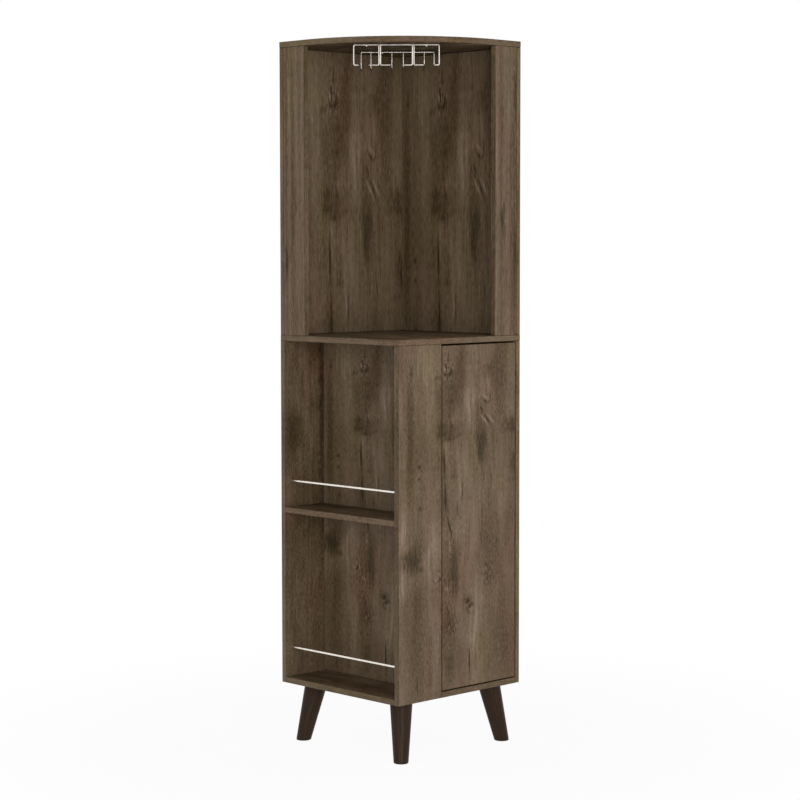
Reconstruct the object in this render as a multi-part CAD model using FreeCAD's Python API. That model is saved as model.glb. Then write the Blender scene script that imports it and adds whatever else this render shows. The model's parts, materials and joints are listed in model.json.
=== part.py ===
import FreeCAD, Part
import math
import os

# Corner bar cabinet. Millimetres, +Z up, origin on the floor under the middle of the square plan.
# The door faces -Y, the open bottle bays face -X, and the +X and +Y faces stand against the walls.

Vector = FreeCAD.Vector

# Overall sizes
side = 435.0
height = 1800.0
board = 15.0
box_bottom = 152.0
counter_top = 1054.0

# Boards that divide the two boxes
stile_width = 79.0
bay_depth = 134.0
shelf_top = 610.5
inner_shelf_setback = 45.0
inner_shelf_side_gap = 1.0

# Bottle rails
rail_radius = 3.2
rail_inset = 19.3
upper_rail_rise = 67.5
lower_rail_rise = 77.0
rail_socket = 8.0
rail_fit = 0.1

# Door
door_side_gap = 3.0
door_top_gap = 4.0
door_bottom_gap = 3.0
swing_clearance = 0.9

# Concealed hinges
hinge_from_end = 100.0
cup_radius = 17.5
cup_depth = 11.5
cup_wall = 1.2
cup_fit = 0.1
pin_under_back = 5.0
pin_radius = 1.5
pin_fit = 0.05
pin_end_gap = 0.5
eye_radius = 3.2
arm_thickness = 2.5
arm_width = 12.0
arm_angle = 50.0
arm_clearance = 3.0
arm_seat_length = 46.0
plate_thickness = 2.0
plate_height = 48.0
plate_margin = 4.0
flange_thickness = 1.2
flange_radius = 20.0
flange_width = 16.0
flange_height = 62.0
flange_screw_spacing = 48.0
plate_screw_spacing = 32.0

# Push latch
latch_length = 60.0
latch_width = 14.0
latch_height = 16.0
latch_flange = 2.0
latch_flange_height = 36.0
latch_flange_length = 30.0
latch_screw_spacing = 26.0
plunger_radius = 4.0
plunger_fit = 0.05
plunger_reach = 6.0
plunger_length = 36.0
plunger_bore_depth = 44.0
plunger_gap = 0.3
strike_radius = 6.0
strike_from_edge = 2.0
strike_thickness = 1.0
strike_recess = 0.6

# Shelf pins
shelf_pin_radius = 2.5
shelf_pin_head = 3.5
shelf_pin_socket = 8.0
shelf_pin_reach = 9.0
shelf_pin_from_end = 50.0
shelf_pin_fit = 0.05

# Legs
leg_top_radius = 28.7
leg_sole_radius = 18.6
leg_splay = 12.85
leg_inset_left_back = 62.8
leg_inset_right_front = 55.8
leg_plate_side = 64.0
leg_plate_thickness = 2.0
leg_plate_screw_spacing = 48.0
leg_bolt_radius = 4.0
leg_bolt_in_leg = 30.0
leg_bolt_in_box = 11.0
leg_bolt_fit = 0.1

# Glass rack
wire_radius = 2.0
wire_bend = 3.0
wire_gap = 0.1
rack_width = 213.4
rack_pair_spacing = 83.5
rack_foot = 27.0
rack_outer_foot = 12.7
rack_front = 107.0
rack_depth = 172.0
rack_drop = 50.0
rack_rear_lower = 3.5
rack_shift = -7.0
rack_front_screw_spacing = 150.0
rack_rear_screw_spacing = 80.0

# Screws, with pan heads
screw_radius = 1.75
screw_depth = 11.0
screw_head_radius = 3.6
screw_head_height = 1.8
screw_fit = 0.05
rack_screw_head_radius = 4.5

# Dowels and cam fittings
dowel_radius = 4.0
dowel_in_face = 10.0
dowel_in_edge = 20.0
hole_end_gap = 0.5
dowel_fit = 0.05
dowel_inset = 50.0
dowel_inset_short = 20.0
cam_radius = 7.5
cam_height = 12.0
cam_set = 24.0
cam_inset = 120.0
cam_fit = 0.1
cam_bolt_radius = 2.5
cam_bolt_head = 3.4
cam_bolt_head_length = 4.0
cam_bolt_in_face = 10.0
cam_bolt_passage = 4.0
upper_joint_shift = 30.0

# Levels and planes worked out from the sizes above
half = side / 2
inner = half - board
ceiling = height - board
counter_under = counter_top - board
box_floor = box_bottom + board
shelf_under = shelf_top - board
middle_board = board / 2
divider_left = -half + bay_depth
divider_right = divider_left + board
divider_middle = divider_left + middle_board
stile_end = inner - stile_width
bottom_middle = box_bottom + middle_board
shelf_middle = shelf_top - middle_board
edge_middle = half - middle_board

X = Vector(1, 0, 0)
Y = Vector(0, 1, 0)
Z = Vector(0, 0, 1)

nodes = {}
cuts = {}
dowels = []
cam_locks = []
cam_bolts = []


def block(x0, x1, y0, y1, z0, z1):
    """Box between two corners."""
    return Part.makeBox(x1 - x0, y1 - y0, z1 - z0, Vector(x0, y0, z0))


def rod(start, direction, length, radius):
    """Cylinder from a point along a direction."""
    return Part.makeCylinder(radius, length, start, direction)


def drill(names, tool):
    """Remember a hole that is cut from the named boards."""
    for name in names:
        cuts.setdefault(name, []).append(tool)


def one_solid(pieces):
    """Fuse pieces that make up one part."""
    return pieces[0].multiFuse(pieces[1:]).removeSplitter()


def pan_screw(seat, direction, drilled, head_radius=screw_head_radius, through=0.0):
    """Screw whose head sits on a point; it passes a thickness and then bites into the drilled boards."""
    head = rod(seat - direction * screw_head_height, direction, screw_head_height, head_radius)
    length = through + screw_depth
    shank = rod(seat, direction, length, screw_radius)
    drill(drilled, rod(seat, direction, length + hole_end_gap, screw_radius + screw_fit))
    return one_solid([head, shank])


def dowel(face, edge, point, into_edge):
    """Wooden peg across a joint, in a blind hole of the face and of the edge."""
    bottom = point - into_edge * (dowel_in_face + hole_end_gap)
    depth = dowel_in_face + dowel_in_edge + 2 * hole_end_gap
    drill([face, edge], rod(bottom, into_edge, depth, dowel_radius + dowel_fit))
    start = point - into_edge * dowel_in_face
    dowels.append(rod(start, into_edge, dowel_in_face + dowel_in_edge, dowel_radius))


def cam_fitting(face, edge, point, into_edge, mouth):
    """Bolt in the face, its head caught by a round cam let into the edge board from the mouth side."""
    centre = point + into_edge * cam_set
    opening = centre + mouth * middle_board
    drill([edge], rod(opening, mouth * -1, cam_height + cam_fit, cam_radius + cam_fit))
    drill([edge], rod(point, into_edge, cam_set, cam_bolt_passage))
    bolt_start = point - into_edge * cam_bolt_in_face
    drill([face], rod(bolt_start, into_edge, cam_bolt_in_face, cam_bolt_radius + cam_fit))
    head_start = centre - into_edge * cam_bolt_head_length / 2
    shank_length = cam_bolt_in_face + cam_set - cam_bolt_head_length / 2
    shank = rod(bolt_start, into_edge, shank_length, cam_bolt_radius)
    head = rod(head_start, into_edge, cam_bolt_head_length, cam_bolt_head)
    cam_bolts.append(one_solid([shank, head]))
    cam = rod(opening, mouth * -1, cam_height, cam_radius)
    entry = rod(centre - into_edge * cam_radius * 2, into_edge, cam_radius * 2, cam_bolt_radius + cam_fit)
    pocket = rod(head_start - into_edge * cam_fit, into_edge, cam_bolt_head_length + 2 * cam_fit,
                 cam_bolt_head + cam_fit)
    cam_locks.append(cam.cut([entry, pocket]))


def edge_joint(face, edge, start, end, into_edge, mouth=None, peg_insets=(dowel_inset, dowel_inset),
               cam_from_end=cam_inset):
    """Dowels, and cam fittings where a mouth side is given, near both ends of a joint line."""
    line = end - start
    length = line.Length
    along = Vector(line).normalize()
    for distance in (peg_insets[0], length - peg_insets[1]):
        dowel(face, edge, start + along * distance, into_edge)
    if mouth is not None:
        for distance in (cam_from_end, length - cam_from_end):
            cam_fitting(face, edge, start + along * distance, into_edge, mouth)


def bent_wire(points, radius, bend):
    """Round wire along straight runs joined by tangent bends."""
    edges = []
    start = points[0]
    for before, corner, after in zip(points, points[1:], points[2:]):
        back = (before - corner).normalize()
        ahead = (after - corner).normalize()
        half_turn = back.getAngle(ahead) / 2
        reach = bend / math.tan(half_turn)
        entry = corner + back * reach
        leave = corner + ahead * reach
        inward = (back + ahead).normalize()
        middle = corner + inward * (bend / math.sin(half_turn) - bend)
        edges.append(Part.LineSegment(start, entry).toShape())
        edges.append(Part.Arc(entry, middle, leave).toShape())
        start = leave
    edges.append(Part.LineSegment(start, points[-1]).toShape())
    ring = Part.Wire(Part.makeCircle(radius, points[0], points[1] - points[0]))
    return Part.Wire(edges).makePipeShell([ring], True, False)


def make_lower_boards():
    """Boards of the lower box and the counter on top of it."""
    nodes["lower_back_panel"] = block(-half, half, inner, half, box_bottom, counter_under)
    nodes["lower_side_panel"] = block(inner, half, -half, inner, box_bottom, counter_under)
    nodes["fixed_front_panel"] = block(-half, divider_right, -half, -inner, box_bottom, counter_under)
    floor_board = block(-half, inner, -half, inner, box_bottom, box_floor)
    nodes["bottom_panel"] = floor_board.cut(nodes["fixed_front_panel"])
    nodes["divider_panel"] = block(divider_left, divider_right, -inner, inner, box_floor, counter_under)
    nodes["bay_shelf"] = block(-half, divider_left, -inner, inner, shelf_under, shelf_top)
    nodes["counter_panel"] = block(-half, half, -half, half, counter_under, counter_top)
    nodes["inner_shelf"] = block(divider_right + inner_shelf_side_gap, inner - inner_shelf_side_gap,
                                 -inner + inner_shelf_setback, inner - inner_shelf_side_gap,
                                 shelf_under, shelf_top)


def make_upper_boards():
    """Walls and stiles of the open niche, and the top with its rounded front corner."""
    nodes["upper_back_panel"] = block(-half, half, inner, half, counter_top, ceiling)
    nodes["upper_side_panel"] = block(inner, half, -half, inner, counter_top, ceiling)
    nodes["left_stile"] = block(-half, -inner, stile_end, inner, counter_top, ceiling)
    nodes["right_stile"] = block(stile_end, inner, -half, -inner, counter_top, ceiling)
    corners = [Vector(-half, stile_end, ceiling), Vector(-half, half, ceiling), Vector(half, half, ceiling),
               Vector(half, -half, ceiling), Vector(stile_end, -half, ceiling)]
    radius = half + stile_end
    apex = Vector(stile_end, stile_end, ceiling) - (X + Y).normalize() * radius
    edges = [Part.LineSegment(a, b).toShape() for a, b in zip(corners, corners[1:])]
    edges.append(Part.Arc(corners[-1], apex, corners[0]).toShape())
    nodes["top_panel"] = Part.Face(Part.Wire(edges)).extrude(Z * board)


def join_lower_boards():
    """Dowels and cam fittings of the lower box."""
    down = Z * -1
    # In the bottom panel the dowels stand on the legs' centre lines, between the screws of the leg plates
    edge_joint("lower_back_panel", "bottom_panel", Vector(-half, inner, bottom_middle),
               Vector(inner, inner, bottom_middle), Y * -1, down,
               (leg_inset_left_back, leg_inset_right_front - board))
    edge_joint("lower_side_panel", "bottom_panel", Vector(inner, -half, bottom_middle),
               Vector(inner, inner, bottom_middle), X * -1, down,
               (leg_inset_right_front, leg_inset_left_back - board))
    edge_joint("fixed_front_panel", "bottom_panel", Vector(-half, -inner, bottom_middle),
               Vector(divider_right, -inner, bottom_middle), Y, None, (leg_inset_left_back, dowel_inset_short))
    edge_joint("counter_panel", "lower_back_panel", Vector(-half, edge_middle, counter_under),
               Vector(half, edge_middle, counter_under), down, Y)
    edge_joint("counter_panel", "lower_side_panel", Vector(edge_middle, -half, counter_under),
               Vector(edge_middle, inner, counter_under), down, X)
    edge_joint("counter_panel", "fixed_front_panel", Vector(-half, -edge_middle, counter_under),
               Vector(divider_right, -edge_middle, counter_under), down)
    edge_joint("counter_panel", "divider_panel", Vector(divider_middle, -inner, counter_under),
               Vector(divider_middle, inner, counter_under), down, X)
    edge_joint("bottom_panel", "divider_panel", Vector(divider_middle, -inner, box_floor),
               Vector(divider_middle, inner, box_floor), Z, X)
    edge_joint("fixed_front_panel", "divider_panel", Vector(divider_middle, -inner, box_floor),
               Vector(divider_middle, -inner, counter_under), Y, X)
    edge_joint("lower_back_panel", "divider_panel", Vector(divider_middle, inner, box_floor),
               Vector(divider_middle, inner, counter_under), Y * -1, X)
    edge_joint("lower_back_panel", "lower_side_panel", Vector(edge_middle, inner, box_bottom),
               Vector(edge_middle, inner, counter_under), Y * -1, X)
    edge_joint("fixed_front_panel", "bay_shelf", Vector(-half, -inner, shelf_middle),
               Vector(divider_left, -inner, shelf_middle), Y)
    edge_joint("lower_back_panel", "bay_shelf", Vector(-half, inner, shelf_middle),
               Vector(divider_left, inner, shelf_middle), Y * -1)
    edge_joint("divider_panel", "bay_shelf", Vector(divider_left, -inner, shelf_middle),
               Vector(divider_left, inner, shelf_middle), X * -1)


def join_upper_boards():
    """Dowels and cam fittings of the niche; those in the counter stand clear of the ones below it."""
    down = Z * -1
    upper_inset = dowel_inset + upper_joint_shift
    shifted = {"peg_insets": (upper_inset, upper_inset), "cam_from_end": cam_inset + upper_joint_shift}
    close = (dowel_inset_short, dowel_inset_short)
    edge_joint("counter_panel", "upper_back_panel", Vector(-half, edge_middle, counter_top),
               Vector(half, edge_middle, counter_top), Z, Y, **shifted)
    edge_joint("counter_panel", "upper_side_panel", Vector(edge_middle, -half, counter_top),
               Vector(edge_middle, inner, counter_top), Z, X, **shifted)
    edge_joint("top_panel", "upper_back_panel", Vector(-half, edge_middle, ceiling),
               Vector(half, edge_middle, ceiling), down, Y)
    edge_joint("top_panel", "upper_side_panel", Vector(edge_middle, -half, ceiling),
               Vector(edge_middle, inner, ceiling), down, X)
    edge_joint("upper_back_panel", "upper_side_panel", Vector(edge_middle, inner, counter_top),
               Vector(edge_middle, inner, ceiling), Y * -1, X)
    edge_joint("upper_back_panel", "left_stile", Vector(-edge_middle, inner, counter_top),
               Vector(-edge_middle, inner, ceiling), Y * -1, X)
    edge_joint("upper_side_panel", "right_stile", Vector(inner, -edge_middle, counter_top),
               Vector(inner, -edge_middle, ceiling), X * -1, Y)
    for board_name, level, into_edge in (("counter_panel", counter_top, Z), ("top_panel", ceiling, down)):
        edge_joint(board_name, "left_stile", Vector(-edge_middle, stile_end, level),
                   Vector(-edge_middle, inner, level), into_edge, peg_insets=close)
        edge_joint(board_name, "right_stile", Vector(stile_end, -edge_middle, level),
                   Vector(inner, -edge_middle, level), into_edge, peg_insets=close)


def make_rails():
    """Metal rods across the open bays, their ends in blind holes of the two boards beside them."""
    length = 2 * (inner + rail_socket)
    for name, level in (("upper_rail", shelf_top + upper_rail_rise), ("lower_rail", box_floor + lower_rail_rise)):
        start = Vector(-half + rail_inset, -inner - rail_socket, level)
        nodes[name] = rod(start, Y, length, rail_radius)
        hole = rod(start - Y * rail_fit, Y, length + 2 * rail_fit, rail_radius + rail_fit)
        drill(["fixed_front_panel", "lower_back_panel"], hole)


def make_shelf_pins():
    """Four stepped pins under the inner shelf."""
    pins = []
    level = shelf_under - shelf_pin_head
    front = -inner + inner_shelf_setback + shelf_pin_from_end
    back = inner - inner_shelf_side_gap - shelf_pin_from_end
    for wall, face, outward in (("divider_panel", divider_right, X), ("lower_side_panel", inner, X * -1)):
        for place in (front, back):
            seat = Vector(face, place, level)
            socket = seat - outward * shelf_pin_socket
            shank = rod(socket, outward, shelf_pin_socket, shelf_pin_radius)
            head = rod(seat, outward, shelf_pin_reach, shelf_pin_head)
            pins.append(one_solid([shank, head]))
            drill([wall], rod(socket, outward, shelf_pin_socket, shelf_pin_radius + shelf_pin_fit))
    nodes["shelf_pins"] = Part.Compound(pins)


# Door edges, and the hinge pin placed so that the swinging corner clears the side panel
door_left = divider_right + door_side_gap
door_right = inner - door_side_gap
door_low = box_floor + door_bottom_gap
door_high = counter_under - door_top_gap
pin_from_front = board - pin_under_back
pin_from_side = ((door_side_gap ** 2 + pin_from_front ** 2 - swing_clearance ** 2)
                 / (2 * (door_side_gap - swing_clearance)))
pin_x = inner - pin_from_side
pin_y = -half + pin_from_front
tail_reach = math.hypot(pin_from_side - door_side_gap, max(pin_from_front, pin_under_back))
bend_from_front = pin_from_front + tail_reach + arm_clearance + arm_thickness / 2
hinge_levels = {"lower": door_low + hinge_from_end, "upper": door_high - hinge_from_end}
latch_level = (shelf_top + counter_under) / 2


def make_door():
    """Flush door and the pockets for its hinge cups."""
    nodes["door_panel"] = block(door_left, door_right, -half, -inner, door_low, door_high)
    for level in hinge_levels.values():
        mouth = Vector(pin_x, -inner, level)
        drill(["door_panel"], rod(mouth, Y * -1, cup_depth + cup_fit, cup_radius + cup_fit))


def hinge_cup(level):
    """Pressed cup with its flange on the back of the door and holes for the pin."""
    mouth = Vector(pin_x, -inner, level)
    outer = rod(mouth - Y * cup_depth, Y, cup_depth + flange_thickness, cup_radius)
    disc = rod(mouth, Y, flange_thickness, flange_radius)
    wing = block(pin_x - flange_width / 2, pin_x + flange_width / 2, -inner, -inner + flange_thickness,
                 level - flange_height / 2, level + flange_height / 2)
    hollow = rod(mouth - Y * (cup_depth - cup_wall), Y, cup_depth + flange_thickness, cup_radius - cup_wall)
    pin_hole = rod(Vector(pin_x, pin_y, level - cup_radius), Z, 2 * cup_radius, pin_radius + pin_fit)
    return one_solid([outer, disc, wing]).cut([hollow, pin_hole])


def hinge_arm(level):
    """Gooseneck strip that leaves the cup at a slant, passes round the door's tail and lies on the plate."""
    slant = math.radians(arm_angle)
    reach = tail_reach + arm_clearance
    pin = Vector(pin_x, pin_y, 0)
    elbow = pin + Vector(-math.cos(slant), math.sin(slant), 0) * reach
    bend_y = -half + bend_from_front
    seat_x = inner - plate_thickness - arm_thickness / 2
    path = [pin, elbow, Vector(elbow.x, bend_y, 0), Vector(seat_x, bend_y, 0),
            Vector(seat_x, bend_y + arm_seat_length, 0)]
    low = level - arm_width / 2
    pieces = [rod(Vector(pin_x, pin_y, low), Z, arm_width, eye_radius)]
    for start, end in zip(path, path[1:]):
        along = end - start
        across = Vector(-along.y, along.x, 0).normalize() * arm_thickness / 2
        outline = [start + across, end + across, end - across, start - across, start + across]
        run = Part.Face(Part.makePolygon(outline)).extrude(Z * arm_width)
        run.translate(Z * low)
        pieces.append(run)
    for corner in path[1:-1]:
        pieces.append(rod(corner + Z * low, Z, arm_width, arm_thickness / 2))
    bore = rod(Vector(pin_x, pin_y, low), Z, arm_width, pin_radius + pin_fit)
    return one_solid(pieces).cut(bore)


def make_hinges():
    """Two concealed hinges: cup and pin on the door, arm and plate on the side panel."""
    cup_screws = []
    plate_screws = []
    arm_screws = []
    plate_start = -half + bend_from_front + plate_margin
    plate_middle = plate_start + arm_seat_length / 2
    for place, level in hinge_levels.items():
        cup_name = "hinge_cup_" + place
        arm_name = "hinge_arm_" + place
        plate_name = "hinge_plate_" + place
        nodes[cup_name] = hinge_cup(level)
        pin_half = cup_radius - pin_end_gap
        nodes["hinge_pin_" + place] = rod(Vector(pin_x, pin_y, level - pin_half), Z, 2 * pin_half, pin_radius)
        nodes[arm_name] = hinge_arm(level)
        nodes[plate_name] = block(inner - plate_thickness, inner, plate_start, plate_start + arm_seat_length,
                                  level - plate_height / 2, level + plate_height / 2)
        for sign in (-1, 1):
            seat = Vector(pin_x, -inner + flange_thickness, level + sign * flange_screw_spacing / 2)
            cup_screws.append(pan_screw(seat, Y * -1, ["door_panel", cup_name]))
            seat = Vector(inner - plate_thickness, plate_middle, level + sign * plate_screw_spacing / 2)
            plate_screws.append(pan_screw(seat, X, ["lower_side_panel", plate_name], through=plate_thickness))
        seat = Vector(inner - plate_thickness - arm_thickness, plate_middle, level)
        arm_screws.append(pan_screw(seat, X, ["lower_side_panel", plate_name, arm_name],
                                    through=plate_thickness + arm_thickness))
    nodes["hinge_cup_screws"] = Part.Compound(cup_screws)
    nodes["hinge_plate_screws"] = Part.Compound(plate_screws)
    nodes["hinge_arm_screws"] = Part.Compound(arm_screws)


def make_latch():
    """Push latch on the divider: housing, sprung plunger, and a strike let into the back of the door."""
    axis_x = door_left + strike_from_edge + strike_radius
    strike_face = -inner + strike_thickness - strike_recess
    tip = strike_face + plunger_gap
    front = tip + plunger_reach
    body = block(divider_right, axis_x + latch_width / 2, front, front + latch_length,
                 latch_level - latch_height / 2, latch_level + latch_height / 2)
    flange_middle = front + latch_length / 2
    flange = block(divider_right, divider_right + latch_flange,
                   flange_middle - latch_flange_length / 2, flange_middle + latch_flange_length / 2,
                   latch_level - latch_flange_height / 2, latch_level + latch_flange_height / 2)
    bore = rod(Vector(axis_x, front, latch_level), Y, plunger_bore_depth, plunger_radius + plunger_fit)
    nodes["latch_housing"] = one_solid([body, flange]).cut(bore)
    nodes["latch_plunger"] = rod(Vector(axis_x, tip, latch_level), Y, plunger_length, plunger_radius)
    strike_start = Vector(axis_x, -inner - strike_recess, latch_level)
    nodes["latch_strike"] = rod(strike_start, Y, strike_thickness, strike_radius)
    drill(["door_panel"], rod(strike_start, Y, strike_thickness, strike_radius + screw_fit))
    screws = []
    for sign in (-1, 1):
        seat = Vector(divider_right + latch_flange, flange_middle, latch_level + sign * latch_screw_spacing / 2)
        screws.append(pan_screw(seat, X * -1, ["divider_panel", "latch_housing"]))
    nodes["latch_screws"] = Part.Compound(screws)


def make_legs():
    """Four tapered legs that lean out to the corners, each on a screwed plate with a hanger bolt."""
    bolts = []
    screws = []
    leg_top = box_bottom - leg_plate_thickness
    lean = math.tan(math.radians(leg_splay))
    places = {"front_left": (-half + leg_inset_left_back, -half + leg_inset_right_front, -1, -1),
              "front_right": (half - leg_inset_right_front, -half + leg_inset_right_front, 1, -1),
              "back_left": (-half + leg_inset_left_back, half - leg_inset_left_back, -1, 1),
              "back_right": (half - leg_inset_right_front, half - leg_inset_left_back, 1, 1)}
    for place, (x, y, out_x, out_y) in places.items():
        outward = Vector(out_x, out_y, 0).normalize()
        axis = (outward * lean - Z).normalize()
        top = Vector(x, y, leg_top)
        length = leg_top / -axis.z
        taper = (leg_top_radius - leg_sole_radius) / length
        spare = leg_top_radius
        cone = Part.makeCone(leg_top_radius + taper * spare, leg_sole_radius - taper * spare,
                             length + 2 * spare, top - axis * spare, axis)
        reach = leg_top * lean + 2 * leg_top_radius
        slab = block(x - reach, x + reach, y - reach, y + reach, 0, leg_top)
        leg_name = "leg_" + place
        plate_name = "leg_plate_" + place
        nodes[leg_name] = cone.common(slab)
        plate_half = leg_plate_side / 2
        nodes[plate_name] = block(x - plate_half, x + plate_half, y - plate_half, y + plate_half,
                                  leg_top, box_bottom)
        bolt_length = leg_bolt_in_leg + leg_bolt_in_box
        bolt_low = top + axis * leg_bolt_in_leg
        bolts.append(rod(bolt_low, axis * -1, bolt_length, leg_bolt_radius))
        bolt_hole = rod(bolt_low + axis * leg_bolt_fit, axis * -1, bolt_length + 2 * leg_bolt_fit,
                        leg_bolt_radius + leg_bolt_fit)
        drill([leg_name, plate_name, "bottom_panel"], bolt_hole)
        for sign_x in (-1, 1):
            for sign_y in (-1, 1):
                offset = Vector(sign_x, sign_y, 0) * (leg_plate_screw_spacing / 2)
                screws.append(pan_screw(top + offset, Z, [plate_name, "bottom_panel"],
                                        through=leg_plate_thickness))
    nodes["leg_bolts"] = Part.Compound(bolts)
    nodes["leg_plate_screws"] = Part.Compound(screws)


def rack_point(across, forward, level):
    """Point given across the niche, forward of the plan's middle along its diagonal, and by height."""
    lateral = (X - Y).normalize() * (across + rack_shift)
    return lateral + (X + Y).normalize() * -forward + Z * level


def make_glass_rack():
    """Wire rack under the top: an outer loop, two pairs of inner wires, and the screws that carry it."""
    front_level = ceiling - wire_radius - wire_gap
    rear_level = front_level - rack_rear_lower
    rail_level = front_level - rack_drop
    rear = rack_front - rack_depth
    edge = rack_width / 2
    halves = []
    for sign in (-1, 1):
        route = [(0, rack_front, front_level), (sign * edge, rack_front, front_level),
                 (sign * edge, rack_front, rail_level),
                 (sign * (edge - rack_outer_foot), rack_front, rail_level),
                 (sign * (edge - rack_outer_foot), rear, rail_level),
                 (sign * (edge - rack_outer_foot), rear, rear_level), (0, rear, rear_level)]
        halves.append(bent_wire([rack_point(*place) for place in route], wire_radius, wire_bend))
    nodes["rack_outer_wire"] = one_solid(halves)
    stems = {"left": -rack_pair_spacing / 2, "right": rack_pair_spacing / 2}
    for pair, stem in stems.items():
        for name, sign in (("left", -1), ("right", 1)):
            near = stem + sign * (wire_radius + wire_gap / 2)
            far = stem + sign * rack_foot
            route = [(near, rack_front, front_level - wire_radius), (near, rack_front, rail_level),
                     (far, rack_front, rail_level), (far, rear, rail_level),
                     (far, rear, rear_level - wire_radius)]
            wire = bent_wire([rack_point(*place) for place in route], wire_radius, wire_bend)
            nodes["rack_" + pair + "_pair_" + name + "_wire"] = wire
    beside = wire_radius + screw_radius + wire_gap
    screws = []
    for spacing, forward, level in ((rack_front_screw_spacing, rack_front - beside, front_level),
                                    (rack_rear_screw_spacing, rear - beside, rear_level)):
        seat_level = level - wire_radius - wire_gap / 2
        for sign in (-1, 1):
            seat = rack_point(sign * spacing / 2, forward, seat_level)
            screws.append(pan_screw(seat, Z, ["top_panel"], rack_screw_head_radius, ceiling - seat_level))
    nodes["rack_screws"] = Part.Compound(screws)


def main():
    """Make every piece, cut its holes and write one file for each node."""
    make_lower_boards()
    make_upper_boards()
    join_lower_boards()
    join_upper_boards()
    make_rails()
    make_shelf_pins()
    make_door()
    make_hinges()
    make_latch()
    make_legs()
    make_glass_rack()
    nodes["dowels"] = Part.Compound(dowels)
    nodes["cam_locks"] = Part.Compound(cam_locks)
    nodes["cam_bolts"] = Part.Compound(cam_bolts)
    os.makedirs("parts", exist_ok=True)
    for name, shape in nodes.items():
        if name in cuts:
            shape = shape.cut(cuts[name])
        shape.exportStep("parts/" + name + ".step")
        print(name, len(shape.Solids), "solids, valid", shape.isValid(), round(shape.Volume / 1000, 2), "cm3")


main()
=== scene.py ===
import json
import logging
import math
from dataclasses import dataclass
from enum import Enum, IntEnum
from typing import Callable, Iterable, Optional, Sequence, Union

import bmesh
import bpy
from mathutils import Matrix, Vector


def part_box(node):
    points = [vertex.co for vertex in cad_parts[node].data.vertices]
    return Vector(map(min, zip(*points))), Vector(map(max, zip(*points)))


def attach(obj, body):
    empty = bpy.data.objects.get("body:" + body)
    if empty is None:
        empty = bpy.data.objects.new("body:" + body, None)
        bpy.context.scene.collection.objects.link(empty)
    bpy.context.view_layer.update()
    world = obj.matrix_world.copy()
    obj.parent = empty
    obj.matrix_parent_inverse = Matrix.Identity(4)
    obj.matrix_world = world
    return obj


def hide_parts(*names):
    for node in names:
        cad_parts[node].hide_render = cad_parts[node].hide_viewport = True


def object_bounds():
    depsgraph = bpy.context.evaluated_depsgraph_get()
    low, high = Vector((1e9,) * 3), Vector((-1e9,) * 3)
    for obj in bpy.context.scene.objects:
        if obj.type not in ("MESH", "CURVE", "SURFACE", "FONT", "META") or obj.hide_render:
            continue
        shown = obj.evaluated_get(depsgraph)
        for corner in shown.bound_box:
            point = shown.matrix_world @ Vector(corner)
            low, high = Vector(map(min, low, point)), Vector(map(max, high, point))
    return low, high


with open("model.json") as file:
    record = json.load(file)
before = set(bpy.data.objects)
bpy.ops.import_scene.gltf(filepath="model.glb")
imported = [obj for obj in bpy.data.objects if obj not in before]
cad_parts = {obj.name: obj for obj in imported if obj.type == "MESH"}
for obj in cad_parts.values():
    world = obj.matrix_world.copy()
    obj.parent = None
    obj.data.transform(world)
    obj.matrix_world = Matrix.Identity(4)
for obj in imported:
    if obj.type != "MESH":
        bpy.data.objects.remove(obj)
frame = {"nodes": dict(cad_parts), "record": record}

# Looks of the corner bar cabinet: printed boards, turned legs, bright rails and rack, plated fittings.
# Metres, in the frame's own axes: the door faces -Y and the open bottle bays face -X.

LOG = logging.getLogger("corner_bar_cabinet")
CAD_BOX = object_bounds()
MM = 0.001
# Points nearer than TOUCH lie on one plane, and points nearer than MERGE are one point
TOUCH = 1e-5
MERGE = 1e-6
# Middle of a signal that runs from 0 to 1
MIDDLE = 0.5
# Size of a cross recess's floor for its mouth, and how far its cutter stands out for its depth
RECESS_TAPER = 0.45
RECESS_RISE = 0.2
PRINT_MAP = "print"
AXES = (Vector((1, 0, 0)), Vector((0, 1, 0)), Vector((0, 0, 1)))
DIAGONAL_ACROSS = Vector((1, -1, 0)).normalized()
DIAGONAL_FORWARD = Vector((-1, -1, 0)).normalized()
WHITE = (1.0, 1.0, 1.0, 1.0)
BODIES = frame["record"]["behaviour"]["bodies"]
NODE_BODY = {node: body for body, nodes in BODIES.items() for node in nodes}

Number = Union["Signal", float]
Oval = tuple[tuple[float, float], float, tuple[float, float]]


def srgb(red: int, green: int, blue: int) -> tuple[float, float, float, float]:
    """Turn a screen colour into the linear colour that a shader takes.

    Args:
        red: Red, 0 to 255.
        green: Green, 0 to 255.
        blue: Blue, 0 to 255.

    Returns:
        Linear red, green, blue and an alpha of one.
    """
    def linear(channel: int) -> float:
        """One channel made linear."""
        share = channel / 255
        return share / 12.92 if share <= 0.04045 else ((share + 0.055) / 1.055) ** 2.4
    return linear(red), linear(green), linear(blue), 1.0


@dataclass(frozen=True)
class Layer:
    """One layer of cloudy variation in a finish.

    Attributes:
        cycles: Cycles per metre on each axis; two numbers for a sheet, three for space.
        octaves: Octaves of finer variation.
        draw: Offset that gives another draw of the same kind.
        weight: How much it counts where it is added up.
        falloff: Share of strength that each finer octave keeps.
    """

    cycles: tuple[float, ...]
    octaves: float
    draw: float
    weight: float = 1.0
    falloff: float = 0.55


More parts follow.
